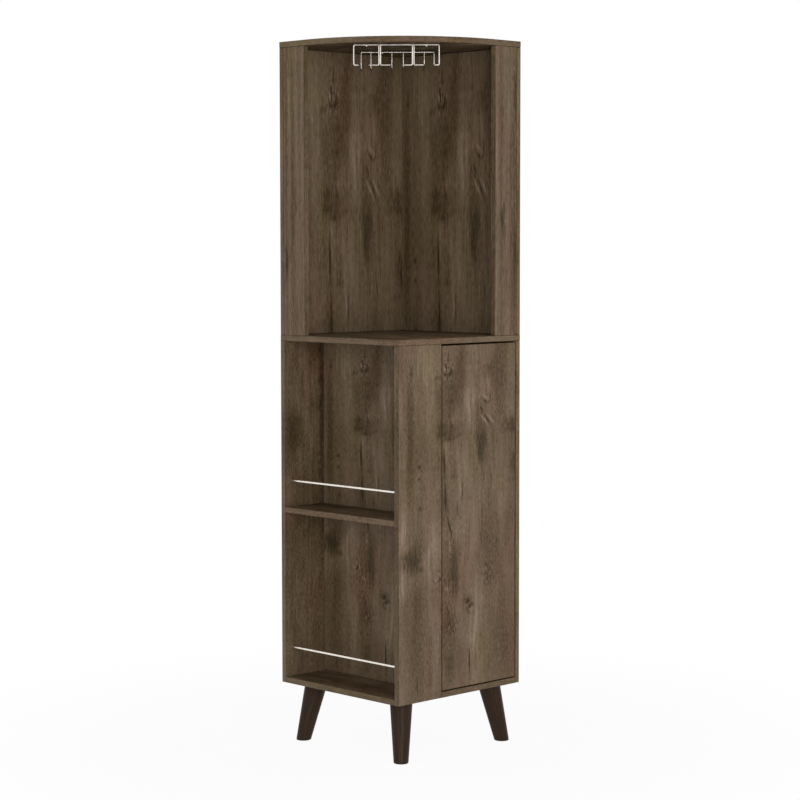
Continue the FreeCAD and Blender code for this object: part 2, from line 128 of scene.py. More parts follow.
class Signal:
    """A number that varies over a surface; sums and products of it become nodes."""

    def __init__(self, graph: "Graph", socket: bpy.types.NodeSocket) -> None:
        """Keep the graph and the socket that gives the number."""
        self.graph = graph
        self.socket = socket

    def __add__(self, other: Number) -> "Signal":
        """Sum."""
        return self.graph.math("ADD", self, other)

    def __sub__(self, other: Number) -> "Signal":
        """Difference."""
        return self.graph.math("SUBTRACT", self, other)

    def __mul__(self, other: Number) -> "Signal":
        """Product."""
        return self.graph.math("MULTIPLY", self, other)

    def step(self, low: float, high: float) -> "Signal":
        """Smooth change from 0 at low to 1 at high.

        Args:
            low: Where it is 0, which may lie above high.
            high: Where it is 1.

        Returns:
            The step.
        """
        settings = {"interpolation_type": "SMOOTHSTEP"}
        inputs = {"Value": self, "From Min": min(low, high), "From Max": max(low, high),
                  "To Min": float(low > high), "To Max": float(low <= high)}
        return Signal(self.graph, self.graph.add("ShaderNodeMapRange", inputs, **settings).outputs[0])


class Graph:
    """Node tree of one material, with short calls for the nodes that its pattern is made of."""

    def __init__(self, name: str) -> None:
        """Start a material that holds only its shader and output.

        Args:
            name: The material's name.
        """
        self.material = bpy.data.materials.new(name)
        self.material.use_nodes = True
        self.nodes = self.material.node_tree.nodes
        self.links = self.material.node_tree.links
        self.shader = self.nodes["Principled BSDF"]

    def feed(self, socket: bpy.types.NodeSocket, value: object) -> None:
        """Link a signal or socket into a socket, or set a plain value on it.

        Args:
            socket: The socket that takes the value.
            value: A signal, another node's socket, or a number, colour or vector.
        """
        if isinstance(value, Signal):
            self.links.new(value.socket, socket)
        elif isinstance(value, bpy.types.NodeSocket):
            self.links.new(value, socket)
        else:
            socket.default_value = value

    def add(self, kind: str, inputs: Optional[dict] = None, **settings: object) -> bpy.types.Node:
        """Add a node.

        Args:
            kind: Blender's name of the node type.
            inputs: Values or signals by the name or number of the input.
            **settings: Properties of the node.

        Returns:
            The new node.
        """
        node = self.nodes.new(kind)
        for name, value in settings.items():
            setattr(node, name, value)
        for name, value in (inputs or {}).items():
            self.feed(node.inputs[name], value)
        return node

    def math(self, operation: str, first: Number, second: Number) -> Signal:
        """Arithmetic on two numbers.

        Args:
            operation: Blender's name of the operation.
            first: First number.
            second: Second number.

        Returns:
            The result.
        """
        node = self.add("ShaderNodeMath", {0: first, 1: second}, operation=operation)
        return Signal(self, node.outputs[0])

    def place(self) -> bpy.types.NodeSocket:
        """Place on the printed sheet: metres across the grain, then along it."""
        return self.add("ShaderNodeUVMap", uv_map=PRINT_MAP).outputs[0]

    def point(self) -> bpy.types.NodeSocket:
        """Place in space, in the piece's own axes."""
        return self.add("ShaderNodeTexCoord").outputs["Object"]

    def split(self, place: bpy.types.NodeSocket) -> tuple[Signal, Signal]:
        """First two numbers of a place."""
        node = self.add("ShaderNodeSeparateXYZ", {0: place})
        return Signal(self, node.outputs[0]), Signal(self, node.outputs[1])

    def join(self, across: Number, along: Number) -> bpy.types.NodeSocket:
        """Place made of a number across the grain and a number along it."""
        return self.add("ShaderNodeCombineXYZ", {0: across, 1: along}).outputs[0]

    def noise(self, place: bpy.types.NodeSocket, layer: Layer) -> Signal:
        """Cloudy variation about zero.

        Args:
            place: Where it is read.
            layer: Its cycles, octaves and draw.

        Returns:
            A signal of mean zero.
        """
        flat = len(layer.cycles) == 2
        inputs = {"Vector": place, "Scale": (*layer.cycles, 1.0) if flat else layer.cycles,
                  "Location": (layer.draw,) * 3}
        stretched = self.add("ShaderNodeMapping", inputs)
        inputs = {"Vector": stretched.outputs[0], "Scale": 1.0, "Detail": layer.octaves,
                  "Roughness": layer.falloff}
        node = self.add("ShaderNodeTexNoise", inputs, noise_dimensions="2D" if flat else "3D")
        return Signal(self, node.outputs[0]) - MIDDLE

    def spot(self, place: bpy.types.NodeSocket, centre: Sequence[float], turn: float,
             halves: Sequence[float]) -> Signal:
        """Soft oval that is 1 at its centre and 0 at its rim.

        Args:
            place: Where it is read.
            centre: Its middle on the sheet.
            turn: Turn about its middle, in radians.
            halves: Half its width and half its length.

        Returns:
            The oval's strength.
        """
        inputs = {"Vector": place, "Location": (*centre, 0.0), "Rotation": (0.0, 0.0, turn),
                  "Scale": (*halves, 1.0)}
        local = self.add("ShaderNodeMapping", inputs, vector_type="TEXTURE").outputs[0]
        node = self.add("ShaderNodeTexGradient", {0: local}, gradient_type="SPHERICAL")
        return Signal(self, node.outputs["Fac"]).step(0.0, 1.0)

    def ramp(self, level: Signal, stops: Sequence[tuple[float, tuple]]) -> bpy.types.NodeSocket:
        """Colour by level.

        Args:
            level: The level, 0 to 1.
            stops: Levels and their colours, lowest first.

        Returns:
            The colour's socket.
        """
        node = self.add("ShaderNodeValToRGB", {0: level})
        elements = node.color_ramp.elements
        while len(elements) < len(stops):
            elements.new(MIDDLE)
        for element, (position, colour) in zip(elements, stops):
            element.position = position
            element.color = colour
        return node.outputs["Color"]

    def mix(self, share: Number, first: object, second: object,
            kind: str = "MIX") -> bpy.types.NodeSocket:
        """Blend two colours.

        Args:
            share: Share of the second colour.
            first: First colour.
            second: Second colour.
            kind: Blender's name of the blend.

        Returns:
            The blended colour's socket.
        """
        inputs = {0: share, 6: first, 7: second}
        node = self.add("ShaderNodeMix", inputs, data_type="RGBA", blend_type=kind)
        return node.outputs[2]

    def finish(self, colour: object, roughness: Number, height: Signal, depth: float,
               **constants: float) -> bpy.types.Material:
        """Wire the shader and give the material.

        Args:
            colour: Base colour or its socket.
            roughness: Roughness.
            height: Relief, about 0 to 1.
            depth: Depth of the relief in metres.
            **constants: Shader inputs that are the same all over, with underscores for spaces.

        Returns:
            The finished material.
        """
        self.feed(self.shader.inputs["Base Color"], colour)
        self.feed(self.shader.inputs["Roughness"], roughness)
        for name, value in constants.items():
            self.shader.inputs[name.replace("_", " ")].default_value = value
        bump = self.add("ShaderNodeBump", {"Strength": 1.0, "Distance": depth, "Height": height})
        self.feed(self.shader.inputs["Normal"], bump.outputs[0])
        return self.material


class Tint(Enum):
    """What a figure of the print does to the wood around it."""

    SHADE = "darker wood"
    CLOUD = "grey smoky stain"
    LINE = "crack or bright fibre"
    CRACKLE = "rough bark-like specks"


@dataclass(frozen=True)
class Smudge:
    """Oval figure of the print, in millimetres on the sheet; a depth below zero lightens."""

    across: float
    along: float
    half_width: float
    half_length: float
    depth: float
    tint: Tint = Tint.SHADE

    def oval(self) -> Oval:
        """Centre, turn and half sizes in metres and radians."""
        return (self.across * MM, self.along * MM), 0.0, (self.half_width * MM, self.half_length * MM)


@dataclass(frozen=True)
class Stroke:
    """Thin tapered line of the print between two points, in millimetres on the sheet."""

    start: tuple[float, float]
    end: tuple[float, float]
    width: float
    depth: float
    tint: Tint = Tint.LINE

    def oval(self) -> Oval:
        """Oval that the line fills.

        Returns:
            Centre, turn and half sizes in metres and radians.
        """
        run = Vector(self.end) - Vector(self.start)
        centre = (Vector(self.end) + Vector(self.start)) * (MM / 2)
        return (centre.x, centre.y), math.atan2(-run.x, run.y), (self.width * MM, run.length * MM / 2)


# Figures of the printed sheet: knots, stains, cracks and light or dark bands, and two marks of painted
# shade in the corner of the bays' end wall
FIGURES: tuple[Union[Smudge, Stroke], ...] = (
    Smudge(72, 805, 40, 110, 0.22, Tint.CLOUD),
    Smudge(76, 775, 28, 64, 0.24, Tint.CLOUD),
    Smudge(-176, 508, 46, 44, 0.46, Tint.CLOUD),
    Smudge(-148, 535, 36, 70, 0.18),
    Smudge(-22, 475, 30, 100, 0.36, Tint.CLOUD),
    Smudge(-16, 430, 26, 50, 0.24),
    Smudge(-45, 822, 76, 40, 0.28),
    Smudge(-70, 826, 26, 26, 0.17, Tint.CLOUD),
    Smudge(2, 1000, 34, 90, 0.24),
    Smudge(-25, 922, 66, 76, 0.26),
    Smudge(-45, 870, 40, 50, 0.14),
    Smudge(186, 822, 52, 44, 0.36),
    Smudge(186, 740, 40, 120, 0.16),
    Smudge(201, 724, 20, 40, 0.40),
    Smudge(28, 380, 28, 34, 0.40),
    Smudge(-40, 345, 38, 64, 0.28),
    Smudge(-18, 255, 56, 120, 0.20),
    Smudge(-42, 225, 22, 60, 0.16),
    Smudge(100, 966, 30, 36, 0.24),
    Smudge(-176, 800, 26, 260, 0.30),
    Smudge(-130, 775, 50, 120, 0.18, Tint.CLOUD),
    Smudge(-160, 310, 76, 240, 0.22),
    Smudge(-150, 400, 36, 80, 0.12),
    Smudge(160, 250, 100, 210, 0.26),
    Smudge(145, 990, 60, 170, 0.20),
    Smudge(104, 520, 46, 150, 0.20),
    Smudge(100, 430, 36, 80, 0.12),
    Smudge(172, 600, 30, 160, 0.10),
    Smudge(-75, 900, 26, 120, 0.14),
    Smudge(150, 470, 60, 90, 0.08),
    Smudge(-203, 575, 30, 84, -0.26),
    Smudge(-100, 525, 42, 130, -0.22),
    Smudge(-206, 445, 24, 70, -0.32),
    Smudge(-92, 300, 28, 190, -0.16),
    Smudge(-205, 240, 24, 120, -0.12),
    Smudge(56, 300, 34, 280, -0.26),
    Smudge(46, 610, 60, 190, -0.16),
    Smudge(34, 920, 34, 190, -0.26),
    Smudge(0, 735, 60, 90, -0.14),
    Smudge(-110, 990, 44, 80, -0.14),
    Smudge(-205, 850, 24, 260, -0.12),
    Smudge(140, 690, 60, 130, -0.12),
    Smudge(90, 930, 40, 50, -0.12),
    Smudge(160, 880, 30, 60, -0.08),
    Smudge(-172, 974, 11, 24, 0.30),
    Smudge(-146, 738, 9, 9, 0.34),
    Smudge(-145, 708, 8, 8, 0.30),
    Smudge(-143, 684, 8, 7, 0.22),
    Smudge(-141, 635, 10, 9, 0.34),
    Smudge(-140, 482, 13, 14, 0.28),
    Smudge(-52, 984, 10, 12, 0.24),
    Smudge(26, 386, 11, 9, 0.22),
    Smudge(34, 372, 10, 9, 0.20),
    Stroke((-114, 944), (-58, 966), 9, 0.24),
    Smudge(-42, 966, 34, 14, 0.26),
    Stroke((-60, 798), (-8, 804), 9, 0.14),
    Stroke((-30, 806), (14, 812), 8, 0.10),
    Stroke((65, 888), (77, 902), 3.4, 0.26),
    Stroke((69, 904), (102, 881), 4.0, 0.44),
    Stroke((94, 882), (110, 894), 3.4, 0.32),
    Stroke((106, 884), (108, 916), 3.4, 0.32),
    Stroke((113, 888), (114, 912), 3.4, -0.20),
    Stroke((63, 896), (74, 914), 3.6, -0.34),
    Stroke((77, 911), (105, 890), 4.4, -0.42),
    Stroke((50, 866), (51, 896), 4.6, 0.24),
    Stroke((68, 880), (85, 860), 5.2, 0.44),
    Stroke((62, 867), (109, 819), 4.2, -0.58),
    Stroke((76, 866), (117, 820), 4.0, 0.42),
    Stroke((84, 870), (131, 820), 3.8, -0.52),
    Stroke((110, 858), (130, 838), 3.6, 0.22),
    Stroke((-62, 790), (-56, 690), 6.0, 0.54),
    Stroke((-58, 710), (-51, 600), 6.0, 0.56),
    Stroke((-53, 625), (-22, 525), 5.0, 0.50),
    Stroke((31, 284), (31, 188), 3.8, 0.80),
    Stroke((3, 705), (6, 630), 4.2, 0.44),
    Stroke((-12, 655), (-12, 590), 3.6, 0.34),
    Stroke((-45, 1036), (-42, 970), 3.8, 0.26),
    Stroke((-155, 225), (-152, 160), 6.0, 0.24),
    Stroke((106, 722), (114, 668), 4.0, 0.30),
    Stroke((86, 718), (82, 670), 4.0, 0.28),
    Stroke((78, 660), (74, 470), 5.0, 0.22),
    Stroke((-28, 872), (-28, 826), 9.0, -0.26),
    Stroke((-52, 815), (-50, 725), 5.5, -0.34),
    Stroke((-1, 705), (0, 645), 5.5, -0.34),
    Stroke((-100, 995), (-98, 905), 4.5, -0.20),
    Stroke((-152, 1030), (-148, 930), 5.0, -0.26),
    Stroke((52, 800), (52, 750), 5.0, -0.24),
    Stroke((-42, 560), (-36, 500), 5.0, -0.26),
    Smudge(1177, 790, 9, 400, 0.20),
    Smudge(1190, 790, 8, 400, -0.10),
    Smudge(1201, 790, 10, 400, 0.16),
    Smudge(1216, 790, 10, 400, -0.12),
    Smudge(1178, 690, 9, 40, 0.34),
    Smudge(1196, 790, 44, 420, 0.07),
    Smudge(1188, 930, 7, 40, -0.14),
    Smudge(1239, 1090, 6, 400, -0.16),
    Smudge(1256, 1090, 12, 400, 0.20),
    Smudge(1282, 1090, 12, 400, -0.14),
    Smudge(1305, 1090, 12, 400, 0.16),
    Smudge(1264, 1045, 15, 30, 0.30),
    Smudge(1309, 1225, 8, 52, 0.28),
    Smudge(1307, 1000, 8, 66, 0.26),
    Smudge(1290, 1090, 60, 420, 0.07),
    Smudge(1657, 803, 52, 105, 0.30, Tint.CLOUD),
    Smudge(1726, 880, 44, 120, -0.12),
    Smudge(1662, 500, 48, 150, 0.11),
    # Painted shade on the bays' end wall: darker in its top corner under the counter, and a dark streak
    # down the corner beside the divider
    Smudge(1735, 1010, 50, 60, 0.12),
    Smudge(1762, 930, 20, 900, 0.34),
    Smudge(-76, 456, 36, 34, 1.0, Tint.CRACKLE),
    Smudge(-46, 428, 26, 34, 1.0, Tint.CRACKLE),
    Smudge(-30, 322, 30, 36, 1.0, Tint.CRACKLE),
    Smudge(-44, 372, 24, 36, 0.8, Tint.CRACKLE),
    Smudge(104, 450, 44, 76, 0.7, Tint.CRACKLE),
    Smudge(-36, 530, 20, 60, 0.8, Tint.CRACKLE),
    Smudge(-48, 975, 34, 54, 0.9, Tint.CRACKLE),
    Smudge(28, 372, 26, 40, 0.7, Tint.CRACKLE),
)


@dataclass(frozen=True)
class WoodDecor:
    """Printed oak decor of the boards: soft bands, mottling, knots, fine cracks and a satin skin.

    Attributes:
        name: The material's name.
        level: Brightness of the plain wood on the palette.
        figured: Whether it carries the sheet's figures.
        strength: How deep those figures are printed.
        crisp_below: Figures narrower than this keep crisp rims.
        wide_sway, small_sway: How far the grain strays sideways.
        bands, mottle, streaks, fine, fibre: Layers of the wood's tone, from the widest to the finest.
        pores: Short dark pores, and pore_edge where they begin and end.
        mottle_break, streak_break, smudge_level: How the wood shows through a smudge.
        specks: Bark-like roughness, with the edges and depths of its pale and dark specks.
        feather, wander: How far the rims of the figures stray.
        wander_along, crisp_wander, crisp_feather: Shares of that along the grain and on crisp rims.
        palette: Colours from the darkest knot to the palest streak.
        hue: Drift of the colour, towards pink one way and towards olive the other.
        smoke: Colour of the smoky stains, with where it sets in and its share.
        relief: Depth of the grain, with the shares of fibre and fine grain in it.
        roughness: Roughness of the skin, with what the fine grain and the pores add.
        specular: Strength of the skin's reflection.
    """

    name: str
    level: float = 0.51
    figured: bool = True
    strength: float = 1.0
    crisp_below: float = 0.014
    wide_sway: Layer = Layer((4, 1.3), 2, 3.1, 0.040)
    small_sway: Layer = Layer((24, 10), 2, 7.7, 0.012)
    bands: Layer = Layer((14, 1.5), 3, 1.3, 0.36)
    mottle: Layer = Layer((42, 12), 4, 5.9, 0.38)
    streaks: Layer = Layer((120, 6), 3, 4.1, 0.36)
    fine: Layer = Layer((290, 85), 3, 2.4, 0.62)
    fibre: Layer = Layer((800, 200), 2, 8.2, 0.34)
    pores: Layer = Layer((1400, 30), 1, 6.6, 0.14)
    pore_edge: tuple[float, float] = (0.16, 0.26)
    mottle_break: float = 1.1
    streak_break: float = 2.0
    smudge_level: float = 0.88
    specks: Layer = Layer((270, 80), 2, 4.4)
    pale_edge: tuple[float, float] = (0.08, 0.15)
    pale_speck: float = 0.52
    dark_edge: tuple[float, float] = (-0.06, -0.14)
    dark_speck: float = 0.40
    feather: Layer = Layer((110, 9), 3, 2.2, 0.058)
    wander: Layer = Layer((45, 28), 4, 5.1, 0.024)
    wander_along: float = 0.8
    crisp_wander: float = 0.17
    crisp_feather: float = 0.10
    palette: tuple[tuple[float, tuple], ...] = ((0.0, srgb(51, 40, 26)), (0.25, srgb(82, 67, 48)),
                                                (0.5, srgb(108, 91, 72)), (0.72, srgb(123, 106, 88)),
                                                (1.0, srgb(143, 126, 108)))
    hue: Layer = Layer((11, 2.4), 3, 9.5)
    hue_reach: float = 0.20
    pink: tuple = srgb(255, 243, 242)
    olive: tuple = srgb(250, 253, 237)
    smoke: tuple = srgb(62, 57, 43)
    smoke_edge: tuple[float, float] = (0.05, 0.6)
    smoke_share: float = 0.45
    relief: float = 0.00012
    fibre_relief: float = 0.6
    fine_relief: float = 0.5
    roughness: float = 0.50
    fine_roughness: float = 0.16
    pore_roughness: float = 0.14
    specular: float = 0.12

    def material(self) -> bpy.types.Material:
        """Build the decor.

        Returns:
            The material.
        """
        graph = Graph(self.name)
        sheet = graph.place()
        across, along = graph.split(sheet)
        wide = graph.noise(sheet, self.wide_sway) * self.wide_sway.weight
        small = graph.noise(sheet, self.small_sway) * self.small_sway.weight
        grain = graph.join(across + (wide + small), along)
        bands = graph.noise(grain, self.bands)
        mottle = graph.noise(grain, self.mottle)
        streaks = graph.noise(grain, self.streaks)
        fine = graph.noise(grain, self.fine)
        fibre = graph.noise(grain, self.fibre)
        tone = bands * self.bands.weight + mottle * self.mottle.weight + streaks * self.streaks.weight
        tone = tone + fine * self.fine.weight + fibre * self.fibre.weight + self.level
        masks = self.figures(graph, sheet, across, along) if self.figured else {}
        if masks:
            broken = mottle * self.mottle_break + streaks * self.streak_break + self.smudge_level
            tone = tone - (masks[Tint.SHADE] + masks[Tint.CLOUD]) * broken - masks[Tint.LINE]
            rough = graph.noise(sheet, self.specks)
            pale = rough.step(*self.pale_edge) * self.pale_speck
            dark = rough.step(*self.dark_edge) * self.dark_speck
            tone = tone + (pale - dark) * masks[Tint.CRACKLE]
        pores = graph.noise(grain, self.pores).step(*self.pore_edge)
        colour = graph.ramp(tone - pores * self.pores.weight, self.palette)
        hue = graph.noise(grain, self.hue)
        colour = graph.mix(hue.step(0.0, self.hue_reach), colour, self.pink, "MULTIPLY")
        colour = graph.mix(hue.step(0.0, -self.hue_reach), colour, self.olive, "MULTIPLY")
        if masks:
            smoky = masks[Tint.CLOUD].step(*self.smoke_edge) * self.smoke_share
            colour = graph.mix(smoky, colour, self.smoke)
        height = fibre * self.fibre_relief + fine * self.fine_relief - pores + MIDDLE
        roughness = fine * self.fine_roughness + pores * self.pore_roughness + self.roughness
        return graph.finish(colour, roughness, height, self.relief, Specular_IOR_Level=self.specular)

    def figures(self, graph: Graph, sheet: bpy.types.NodeSocket, across: Signal,
                along: Signal) -> dict[Tint, Signal]:
        """Add up the sheet's figures by their tint, with uneven rims.

        Args:
            graph: The material's nodes.
            sheet: Place on the sheet.
            across: Its part across the grain.
            along: Its part along the grain.

        Returns:
            The strength of each tint.
        """
        feather = graph.noise(sheet, self.feather) * self.feather.weight
        wander = graph.noise(sheet, self.wander) * self.wander.weight
        soft = graph.join(across + wander, along + feather + wander * self.wander_along)
        crisp = graph.join(across + wander * self.crisp_wander, along + feather * self.crisp_feather)
        sums: dict[Tint, Signal] = {}
        for figure in FIGURES:
            oval = figure.oval()
            place = crisp if min(oval[2]) < self.crisp_below else soft
            spot = graph.spot(place, *oval) * (figure.depth * self.strength)
            sums[figure.tint] = sums[figure.tint] + spot if figure.tint in sums else spot
        return sums


@dataclass(frozen=True)
class StainedWood:
    """Dark stained wood of the legs, with a fine upright grain under a thin lacquer."""

    name: str
    palette: tuple[tuple[float, tuple], ...] = ((0.1, srgb(32, 23, 16)), (0.5, srgb(54, 41, 30)),
                                                (0.95, srgb(74, 58, 45)))
    sway: Layer = Layer((40, 8), 2, 1.7, 0.010)
    streaks: Layer = Layer((150, 5), 4, 3.3, 0.9)
    fibre: Layer = Layer((900, 22), 2, 6.1, 0.5)
    pores: Layer = Layer((1100, 34), 1, 9.9, 0.30)
    pore_edge: tuple[float, float] = (0.14, 0.26)
    relief: float = 0.00015
    fibre_relief: float = 0.6
    roughness: float = 0.42
    grain_roughness: float = 0.2
    specular: float = 0.08

    def material(self) -> bpy.types.Material:
        """Build the stained wood.

        Returns:
            The material.
        """
        graph = Graph(self.name)
        sheet = graph.place()
        across, along = graph.split(sheet)
        grain = graph.join(across + graph.noise(sheet, self.sway) * self.sway.weight, along)
        streaks = graph.noise(grain, self.streaks)
        fibre = graph.noise(grain, self.fibre)
        pores = graph.noise(grain, self.pores).step(*self.pore_edge)
        tone = streaks * self.streaks.weight + fibre * self.fibre.weight
        tone = tone - pores * self.pores.weight + MIDDLE
        height = fibre * self.fibre_relief - pores + MIDDLE
        roughness = (fibre + pores) * self.grain_roughness + self.roughness
        return graph.finish(graph.ramp(tone, self.palette), roughness, height, self.relief,
                            Specular_IOR_Level=self.specular)


@dataclass(frozen=True)
class PlatedMetal:
    """Plated or polished metal with a faint cloudiness and fine drawn lines."""

    name: str
    colour: tuple
    shade: tuple
    roughness: float
    cloud: Layer = Layer((60, 60, 60), 3, 2.0, 0.12)
    cloud_reach: float = 0.2
    grit: Layer = Layer((1600, 1600, 300), 2, 4.0, 0.10)
    relief: float = 0.000004

    def material(self) -> bpy.types.Material:
        """Build the metal.

        Returns:
            The material.
        """
        graph = Graph(self.name)
        point = graph.point()
        cloud = graph.noise(point, self.cloud)
        grit = graph.noise(point, self.grit)
        colour = graph.mix(cloud.step(-self.cloud_reach, self.cloud_reach), self.shade, self.colour)
        roughness = cloud * self.cloud.weight + grit * self.grit.weight + self.roughness
        return graph.finish(colour, roughness, grit + MIDDLE, self.relief, Metallic=1.0)


@dataclass(frozen=True)
class MouldedPlastic:
    """Moulded plastic with a fine eroded texture."""

    name: str
    colour: tuple
    shade: tuple
    cloud: Layer = Layer((40, 40, 40), 2, 1.0)
    cloud_reach: float = 0.25
    grit: Layer = Layer((1500, 1500, 1500), 2, 6.0, 0.2)
    roughness: float = 0.48
    relief: float = 0.00003
    specular: float = 0.4

    def material(self) -> bpy.types.Material:
        """Build the plastic.

        Returns:
            The material.
        """
        graph = Graph(self.name)
        point = graph.point()
        cloud = graph.noise(point, self.cloud)
        grit = graph.noise(point, self.grit)
        colour = graph.mix(cloud.step(-self.cloud_reach, self.cloud_reach), self.shade, self.colour)
        roughness = grit * self.grit.weight + self.roughness
        return graph.finish(colour, roughness, grit + MIDDLE, self.relief,
                            Specular_IOR_Level=self.specular)


@dataclass(frozen=True)
class TurnedBeech:
    """Pale beech of the dowels, with short dark flecks."""

    name: str
    palette: tuple[tuple[float, tuple], ...] = ((0.2, srgb(176, 138, 98)), (0.8, srgb(214, 181, 140)))
    fleck: tuple = srgb(134, 96, 64)
    streaks: Layer = Layer((300, 300, 300), 3, 2.0, 0.2)
    flecks: Layer = Layer((1200, 1200, 900), 1, 5.0, 0.5)
    fleck_edge: tuple[float, float] = (0.12, 0.24)
    roughness: float = 0.6
    relief: float = 0.00008
    specular: float = 0.3

    def material(self) -> bpy.types.Material:
        """Build the beech.

        Returns:
            The material.
        """
        graph = Graph(self.name)
        point = graph.point()
        streaks = graph.noise(point, self.streaks)
        flecks = graph.noise(point, self.flecks).step(*self.fleck_edge)
        colour = graph.ramp(streaks + MIDDLE, self.palette)
        colour = graph.mix(flecks * self.flecks.weight, colour, self.fleck)
        roughness = streaks * self.streaks.weight + self.roughness
        height = streaks - flecks + MIDDLE
        return graph.finish(colour, roughness, height, self.relief, Specular_IOR_Level=self.specular)


class ShadeCopy(Enum):
    """Which copy of the decor the faces of an upright board carry: the plain one, or a darker copy that
    paints the shade in the niche or on the bays' end wall.
    """

    OUTER = "outer boards"
    NICHE = "walls of the niche"
    BAY_END = "end wall of the bottle bays"


class Finishes:
    """Every finish of the cabinet, built once and shared."""

    def __init__(self) -> None:
        """Build the materials."""
        self.upright = {
            ShadeCopy.OUTER: WoodDecor("wood_decor").material(),
            # Painted shade: the niche's walls take a darker copy with fainter figures, for the dim light
            # inside the niche
            ShadeCopy.NICHE: WoodDecor("wood_decor_niche_shaded", level=0.485, strength=0.88).material(),
            # Painted shade: the bays' end wall takes a much darker copy, for the shade deep in the bays
            ShadeCopy.BAY_END: WoodDecor("wood_decor_bay_end_shaded", level=0.405).material(),
        }
        self.seam = WoodDecor("board_edge_seam", level=0.22, figured=False).material()
        # Level faces take a darker plain copy: its low level is painted shade for the little light on the
        # shelf, counter and bottom tops; its stronger bands are the wood's own
        self.flat = WoodDecor("wood_decor_flat_shaded", level=0.30, figured=False,
                              bands=Layer((14, 1.5), 3, 1.3, 0.8),
                              mottle=Layer((42, 12), 4, 5.9, 0.7)).material()
        self.edge = WoodDecor("wood_decor_edge", level=0.47, figured=False).material()
        # Darker print on the narrow sides of the stiles and the fixed front panel
        self.band = WoodDecor("wood_decor_dark_ends", level=0.36, figured=False).material()
        self.leg = StainedWood("leg_wood").material()
        self.wire = PlatedMetal("chrome_wire", srgb(190, 184, 177), srgb(176, 170, 163),
                                roughness=0.28).material()
        self.rail = PlatedMetal("satin_rail", srgb(244, 238, 229), srgb(232, 225, 216),
                                roughness=0.26).material()
        self.nickel = PlatedMetal("nickel_steel", srgb(206, 200, 190), srgb(176, 170, 162),
                                  roughness=0.24).material()
        self.zinc = PlatedMetal("zinc_steel", srgb(196, 198, 198), srgb(158, 160, 160),
                                roughness=0.36).material()
        self.latch_body = MouldedPlastic("latch_body", srgb(92, 90, 88), srgb(78, 76, 74)).material()
        self.latch_tip = MouldedPlastic("latch_tip", srgb(226, 224, 218), srgb(206, 204, 198)).material()
        self.beech = TurnedBeech("beech").material()


class Grain(Enum):
    """Which way the print runs on a board."""

    UP = 2
    ALONG_X = 0
    ALONG_Y = 1


@dataclass(frozen=True)
class Lay:
    """Where a board's face was cut from the printed sheet.

    The sheet is read at the board's own place, moved across and along and stretched along the grain.
    """

    across: float = 0.0
    along: float = 0.0
    stretch: float = 1.0


def link(name: str, mesh: bpy.types.Mesh) -> bpy.types.Object:
    """Put a mesh into the scene.

    Args:
        name: The piece's name.
        mesh: Its mesh.

    Returns:
        The new object.
    """
    piece = bpy.data.objects.new(name, mesh)
    bpy.context.scene.collection.objects.link(piece)
    return piece


def to_mesh(name: str, shape: bmesh.types.BMesh, smooth_below: float = 40.0) -> bpy.types.Mesh:
    """Turn an edited shape into a mesh with smooth rounds and sharp corners.

    Args:
        name: The mesh's name.
        shape: The shape, which is used up.
        smooth_below: Edges flatter than this many degrees are shaded smooth.

    Returns:
        The mesh.
    """
    mesh = bpy.data.meshes.new(name)
    bmesh.ops.recalc_face_normals(shape, faces=shape.faces)
    shape.to_mesh(mesh)
    shape.free()
    mesh.polygons.foreach_set("use_smooth", [True] * len(mesh.polygons))
    mesh.set_sharp_from_angle(angle=math.radians(smooth_below))
    return mesh


def enter(piece: bpy.types.Object, body: str, nodes: Sequence[str] = ()) -> None:
    """Tie a piece to its body and to the nodes that it stands for.

    Args:
        piece: The piece.
        body: The body that it rides on.
        nodes: Nodes that it replaces.
    """
    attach(piece, body)
    if nodes:
        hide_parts(*nodes)
    LOG.info("%s: %d faces, rides on %s", piece.name, len(piece.data.polygons), body)


def dress_node(node: str, material: bpy.types.Material) -> None:
    """Give a node that keeps its own shape a finish.

    Args:
        node: The node's name.
        material: Its finish.
    """
    slots = frame["nodes"][node].data.materials
    slots.clear()
    slots.append(material)
    LOG.info("%s: keeps its shape, finish %s", node, material.name)


def rod(shape: bmesh.types.BMesh, start: Vector, axis: Vector, profile: Sequence[tuple[float, float]],
        sides: int) -> None:
    """Turn a profile about an axis and close it at both ends.

    Args:
        shape: The shape that it is added to.
        start: Where the profile begins.
        axis: Direction of the axis.
        profile: Distances along the axis and radii.
        sides: Sides of the round.
    """
    turn = axis.normalized().to_track_quat("Z", "Y").to_matrix()
    rings = []
    for distance, radius in profile:
        ring = []
        for index in range(sides):
            angle = 2 * math.pi * index / sides
            place = Vector((radius * math.cos(angle), radius * math.sin(angle), distance))
            ring.append(shape.verts.new(start + turn @ place))
        rings.append(ring)
    for lower, upper in zip(rings, rings[1:]):
        for index in range(sides):
            following = (index + 1) % sides
            shape.faces.new((lower[index], lower[following], upper[following], upper[index]))
    shape.faces.new(list(reversed(rings[0])))
    shape.faces.new(rings[-1])


def cut(piece: bpy.types.Object, cutter: bmesh.types.BMesh, smooth_below: float) -> None:
    """Take a cutter's volume out of a piece.

    Args:
        piece: The piece that is cut.
        cutter: The closed shape that is taken out, which is used up.
        smooth_below: Edges flatter than this many degrees are shaded smooth.
    """
    tool = link("cutter", to_mesh("cutter", cutter))
    modifier = piece.modifiers.new("cut", "BOOLEAN")
    modifier.operation = "DIFFERENCE"
    modifier.solver = "EXACT"
    modifier.object = tool
    graph = bpy.context.evaluated_depsgraph_get()
    mesh = bpy.data.meshes.new_from_object(piece.evaluated_get(graph))
    mesh.set_sharp_from_angle(angle=math.radians(smooth_below))
    piece.modifiers.clear()
    piece.data = mesh
    bpy.data.meshes.remove(tool.data)


